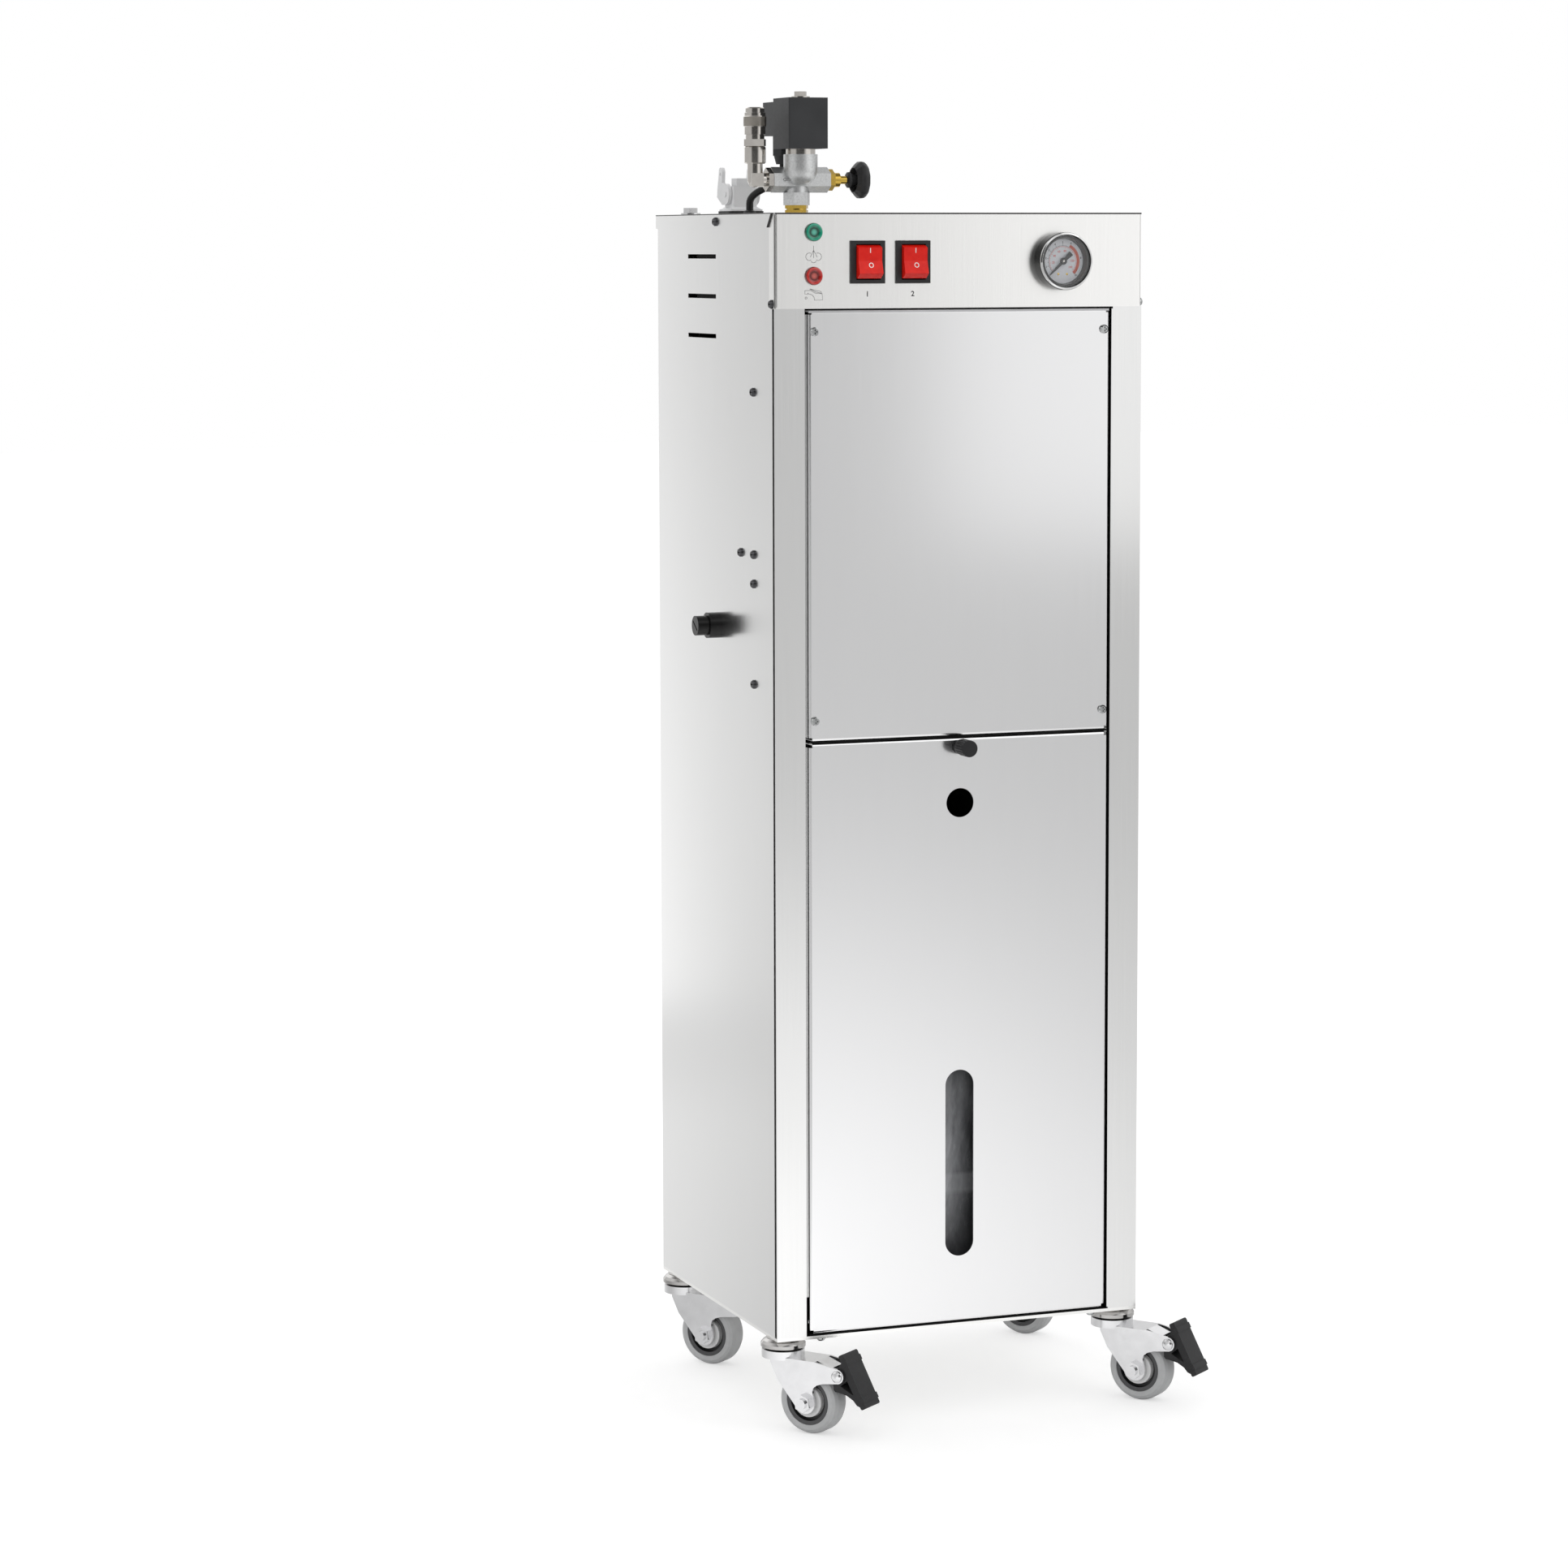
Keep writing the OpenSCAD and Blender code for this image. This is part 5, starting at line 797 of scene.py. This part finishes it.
def hand_wheel():
    """The lobed wheel of the steam valve: a hub in a hollow, a ridge round it, and a sloping grooved skirt."""
    profile = [(0, -1.0), (2.4, -1.0), (2.4, 0.2), (5.0, 0.2), (5.9, 0.8), (6.1, 2.0), (5.7, 3.2),
               (4.2, 3.8), (4.0, 9.8), (8.4, 9.8), (8.9, 5.9), (9.4, 5.4), (10.0, 5.6), (10.4, 6.3),
               (10.8, 6.4), (11.6, 7.4), (12.0, 7.5), (13.2, 8.9), (13.9, 9.7), (14.0, 11.2), (13.7, 13.0),
               (12.6, 14.5), (10.0, 15.2), (0, WHEEL_LENGTH)]
    shape = turned(profile, 144)
    for vert in shape.verts:
        reach = vert.co.xy.length / MM
        if reach > LOBES_FROM:
            lobe = math.cos(WHEEL_LOBES * math.atan2(vert.co.y, vert.co.x))
            depth = 0.13 if reach > DEEPER_FROM else 0.10
            vert.co.xy *= 1 - depth * (1 + lobe) / reach
    low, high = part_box("hand_knob")
    place = at(high.x / MM - WHEEL_LENGTH, VALVE_Y, 0.5 * (low.z + high.z) / MM)
    facing_right = Matrix.Rotation(math.radians(90), 4, "Y")
    wheel = put(placed(shape, place @ facing_right), "hand_wheel", wheel_black, "hand_knob", 50)
    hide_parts("hand_knob")


def valve_details():
    """The knurl of the coupler's sleeve and the flow arrow on the valve's bar."""
    band = knurled(KNURL_RADIUS, KNURL_LENGTH, around=100, along=12, depth=0.12)
    put(placed(band, at(COUPLER_X, VALVE_Y, KNURL_LOW)), "sleeve_knurl", knurl, "coupler_sleeve")
    outline = [(-2.5, 0), (-0.9, 1.4), (-0.9, 0.65), (2.3, 0.65), (1.8, 0), (2.3, -0.65), (-0.9, -0.65),
               (-0.9, -1.4), (-2.5, 0)]
    arrow = lined([[(ARROW_X + x, ARROW_Z + z) for x, z in outline]], 0.34, 0.04)
    put(laid_on(placed(arrow, FACING_FRONT), "valve_body"), "flow_arrow", black_ink)


header_prints()
rocker_marks()
seams()
dial_prints()
gauge_parts()
valve_details()
hand_wheel()


# Studio

# From the part toward the camera, where the studio is dark
DARK_SIDE = (-0.383, -0.924, 0)
FLOOR_GLOW = 0.50


def studio_floor():
    """Grey paper, with pools of light before and behind the part that only its mirror images show."""
    shape = bmesh.new()
    bmesh.ops.create_grid(shape, x_segments=1, y_segments=1, size=16.0)
    mesh = bpy.data.meshes.new("studio_floor")
    shape.to_mesh(mesh)
    shape.free()
    floor = bpy.data.objects.new("studio_floor", mesh)
    bpy.context.scene.collection.objects.link(floor)
    paper = Finish("floor_paper", (0.60, 0.60, 0.60), 0.9, Specular_IOR_Level=0.0)
    grain = paper.ranged(paper.noise(30.0, 2.0), 0.3, 0.7)
    paper.colour_by(grain, (0.59, 0.59, 0.59), (0.61, 0.61, 0.61))
    spot = paper.split()

    # The front pool fades toward the camera and lies between two slanting edges
    ahead = paper.ranged(spot["Y"], -3.6, -0.5, 0.08, 0.66)
    slant = paper.maths("MULTIPLY_ADD", spot["Y"], 0.42, spot["X"])
    across = paper.maths("MULTIPLY", paper.ranged(slant, -0.35, 0.25, 1.15, 0.30),
                         paper.ranged(slant, -0.85, -0.35, 0.30, 1.0))
    front_pool = paper.maths("MULTIPLY", ahead, across)

    # The back pool lies to the left, behind the side panel
    slant = paper.maths("MULTIPLY_ADD", spot["Y"], 0.36, spot["X"])
    back_pool = paper.maths("MULTIPLY", paper.ranged(slant, -0.28, -0.05, 0.02, 0.34),
                            paper.ranged(slant, 0.05, 0.45, 1.0, 0.0))
    pools = paper.mixed(paper.ranged(spot["Y"], -0.25, 0.15), front_pool, back_pool)

    # Far ahead the floor is as dark as the studio
    flat = paper.flat(spot, "X", "Y")
    reach = paper.vector("LENGTH", flat, result="Value")
    along = paper.maths("DIVIDE", paper.vector("DOT_PRODUCT", flat, DARK_SIDE, "Value"), reach)
    dark = paper.maths("MULTIPLY", paper.ranged(along, 0.80, 0.92), paper.ranged(reach, 0.9, 1.5))
    pools = paper.maths("MULTIPLY", pools, paper.ranged(dark, 0, 1, 1.0, 0.15))

    rays = paper.node("ShaderNodeLightPath").outputs
    mirrored = paper.maths("MAXIMUM", rays["Is Glossy Ray"], rays["Is Transmission Ray"])
    glow = paper.maths("ADD", paper.maths("MULTIPLY", mirrored, pools),
                       paper.maths("MULTIPLY", rays["Is Camera Ray"], FLOOR_GLOW))
    paper.feed((1, 1, 1, 1), paper.inputs["Emission Color"])
    paper.feed(glow, paper.inputs["Emission Strength"])
    mesh.materials.append(paper.material)


def studio_world():
    """White to the camera, and a wall, a dim ceiling and a dark side to the steel."""
    world = bpy.data.worlds.new("studio_world")
    world.use_nodes = True
    bpy.context.scene.world = world
    world.node_tree.nodes.clear()
    room = Nodes(world.node_tree, "Generated")
    height = room.split()["Z"]
    wall = room.ranged(height, 0.05, 0.5, 0.60, 1.05, "SMOOTHSTEP")
    ceiling = room.ranged(height, 0.68, 0.88, 1.0, 0.25, "SMOOTHSTEP")
    toward = room.vector("DOT_PRODUCT", room.place, DARK_SIDE, "Value")
    dark = room.ranged(toward, 0.77, 0.90, 1.0, 0.12, "SMOOTHSTEP")
    mirrored = room.maths("MULTIPLY", room.maths("MULTIPLY", wall, ceiling), dark)
    rays = room.node("ShaderNodeLightPath").outputs
    spread = room.mixed(rays["Is Glossy Ray"], 0.95, mirrored)
    seen = room.maths("MAXIMUM", rays["Is Camera Ray"], rays["Is Transmission Ray"])
    light = room.node("ShaderNodeBackground")
    room.feed((1, 1, 1, 1), light.inputs["Color"])
    room.feed(room.mixed(seen, spread, 1.0), light.inputs["Strength"])
    room.feed(light.outputs[0], room.node("ShaderNodeOutputWorld").inputs["Surface"])


def soft_box(name, place, aim, size, radiance):
    """A rectangular lamp whose face shines with the given radiance."""
    lamp = bpy.data.lights.new(name, "AREA")
    lamp.shape = "RECTANGLE"
    lamp.size, lamp.size_y = size
    lamp.energy = radiance * math.pi * size[0] * size[1]
    box = bpy.data.objects.new(name, lamp)
    bpy.context.scene.collection.objects.link(box)
    turn = (Vector(place) - Vector(aim)).to_track_quat("Z", "Y").to_matrix().to_4x4()
    box.matrix_world = Matrix.Translation(place) @ turn


photo_camera()
studio_floor()
studio_world()
soft_box("right_box", place=(0.94, -1.10, 1.45), aim=(0.2, 0, 1.2), size=(1.12, 1.8), radiance=0.38)
soft_box("left_box", place=(-0.10, 1.20, 0.98), aim=(-0.3, 0, 0.98), size=(0.95, 1.8), radiance=0.52)
bpy.context.scene.view_settings.view_transform = "Standard"
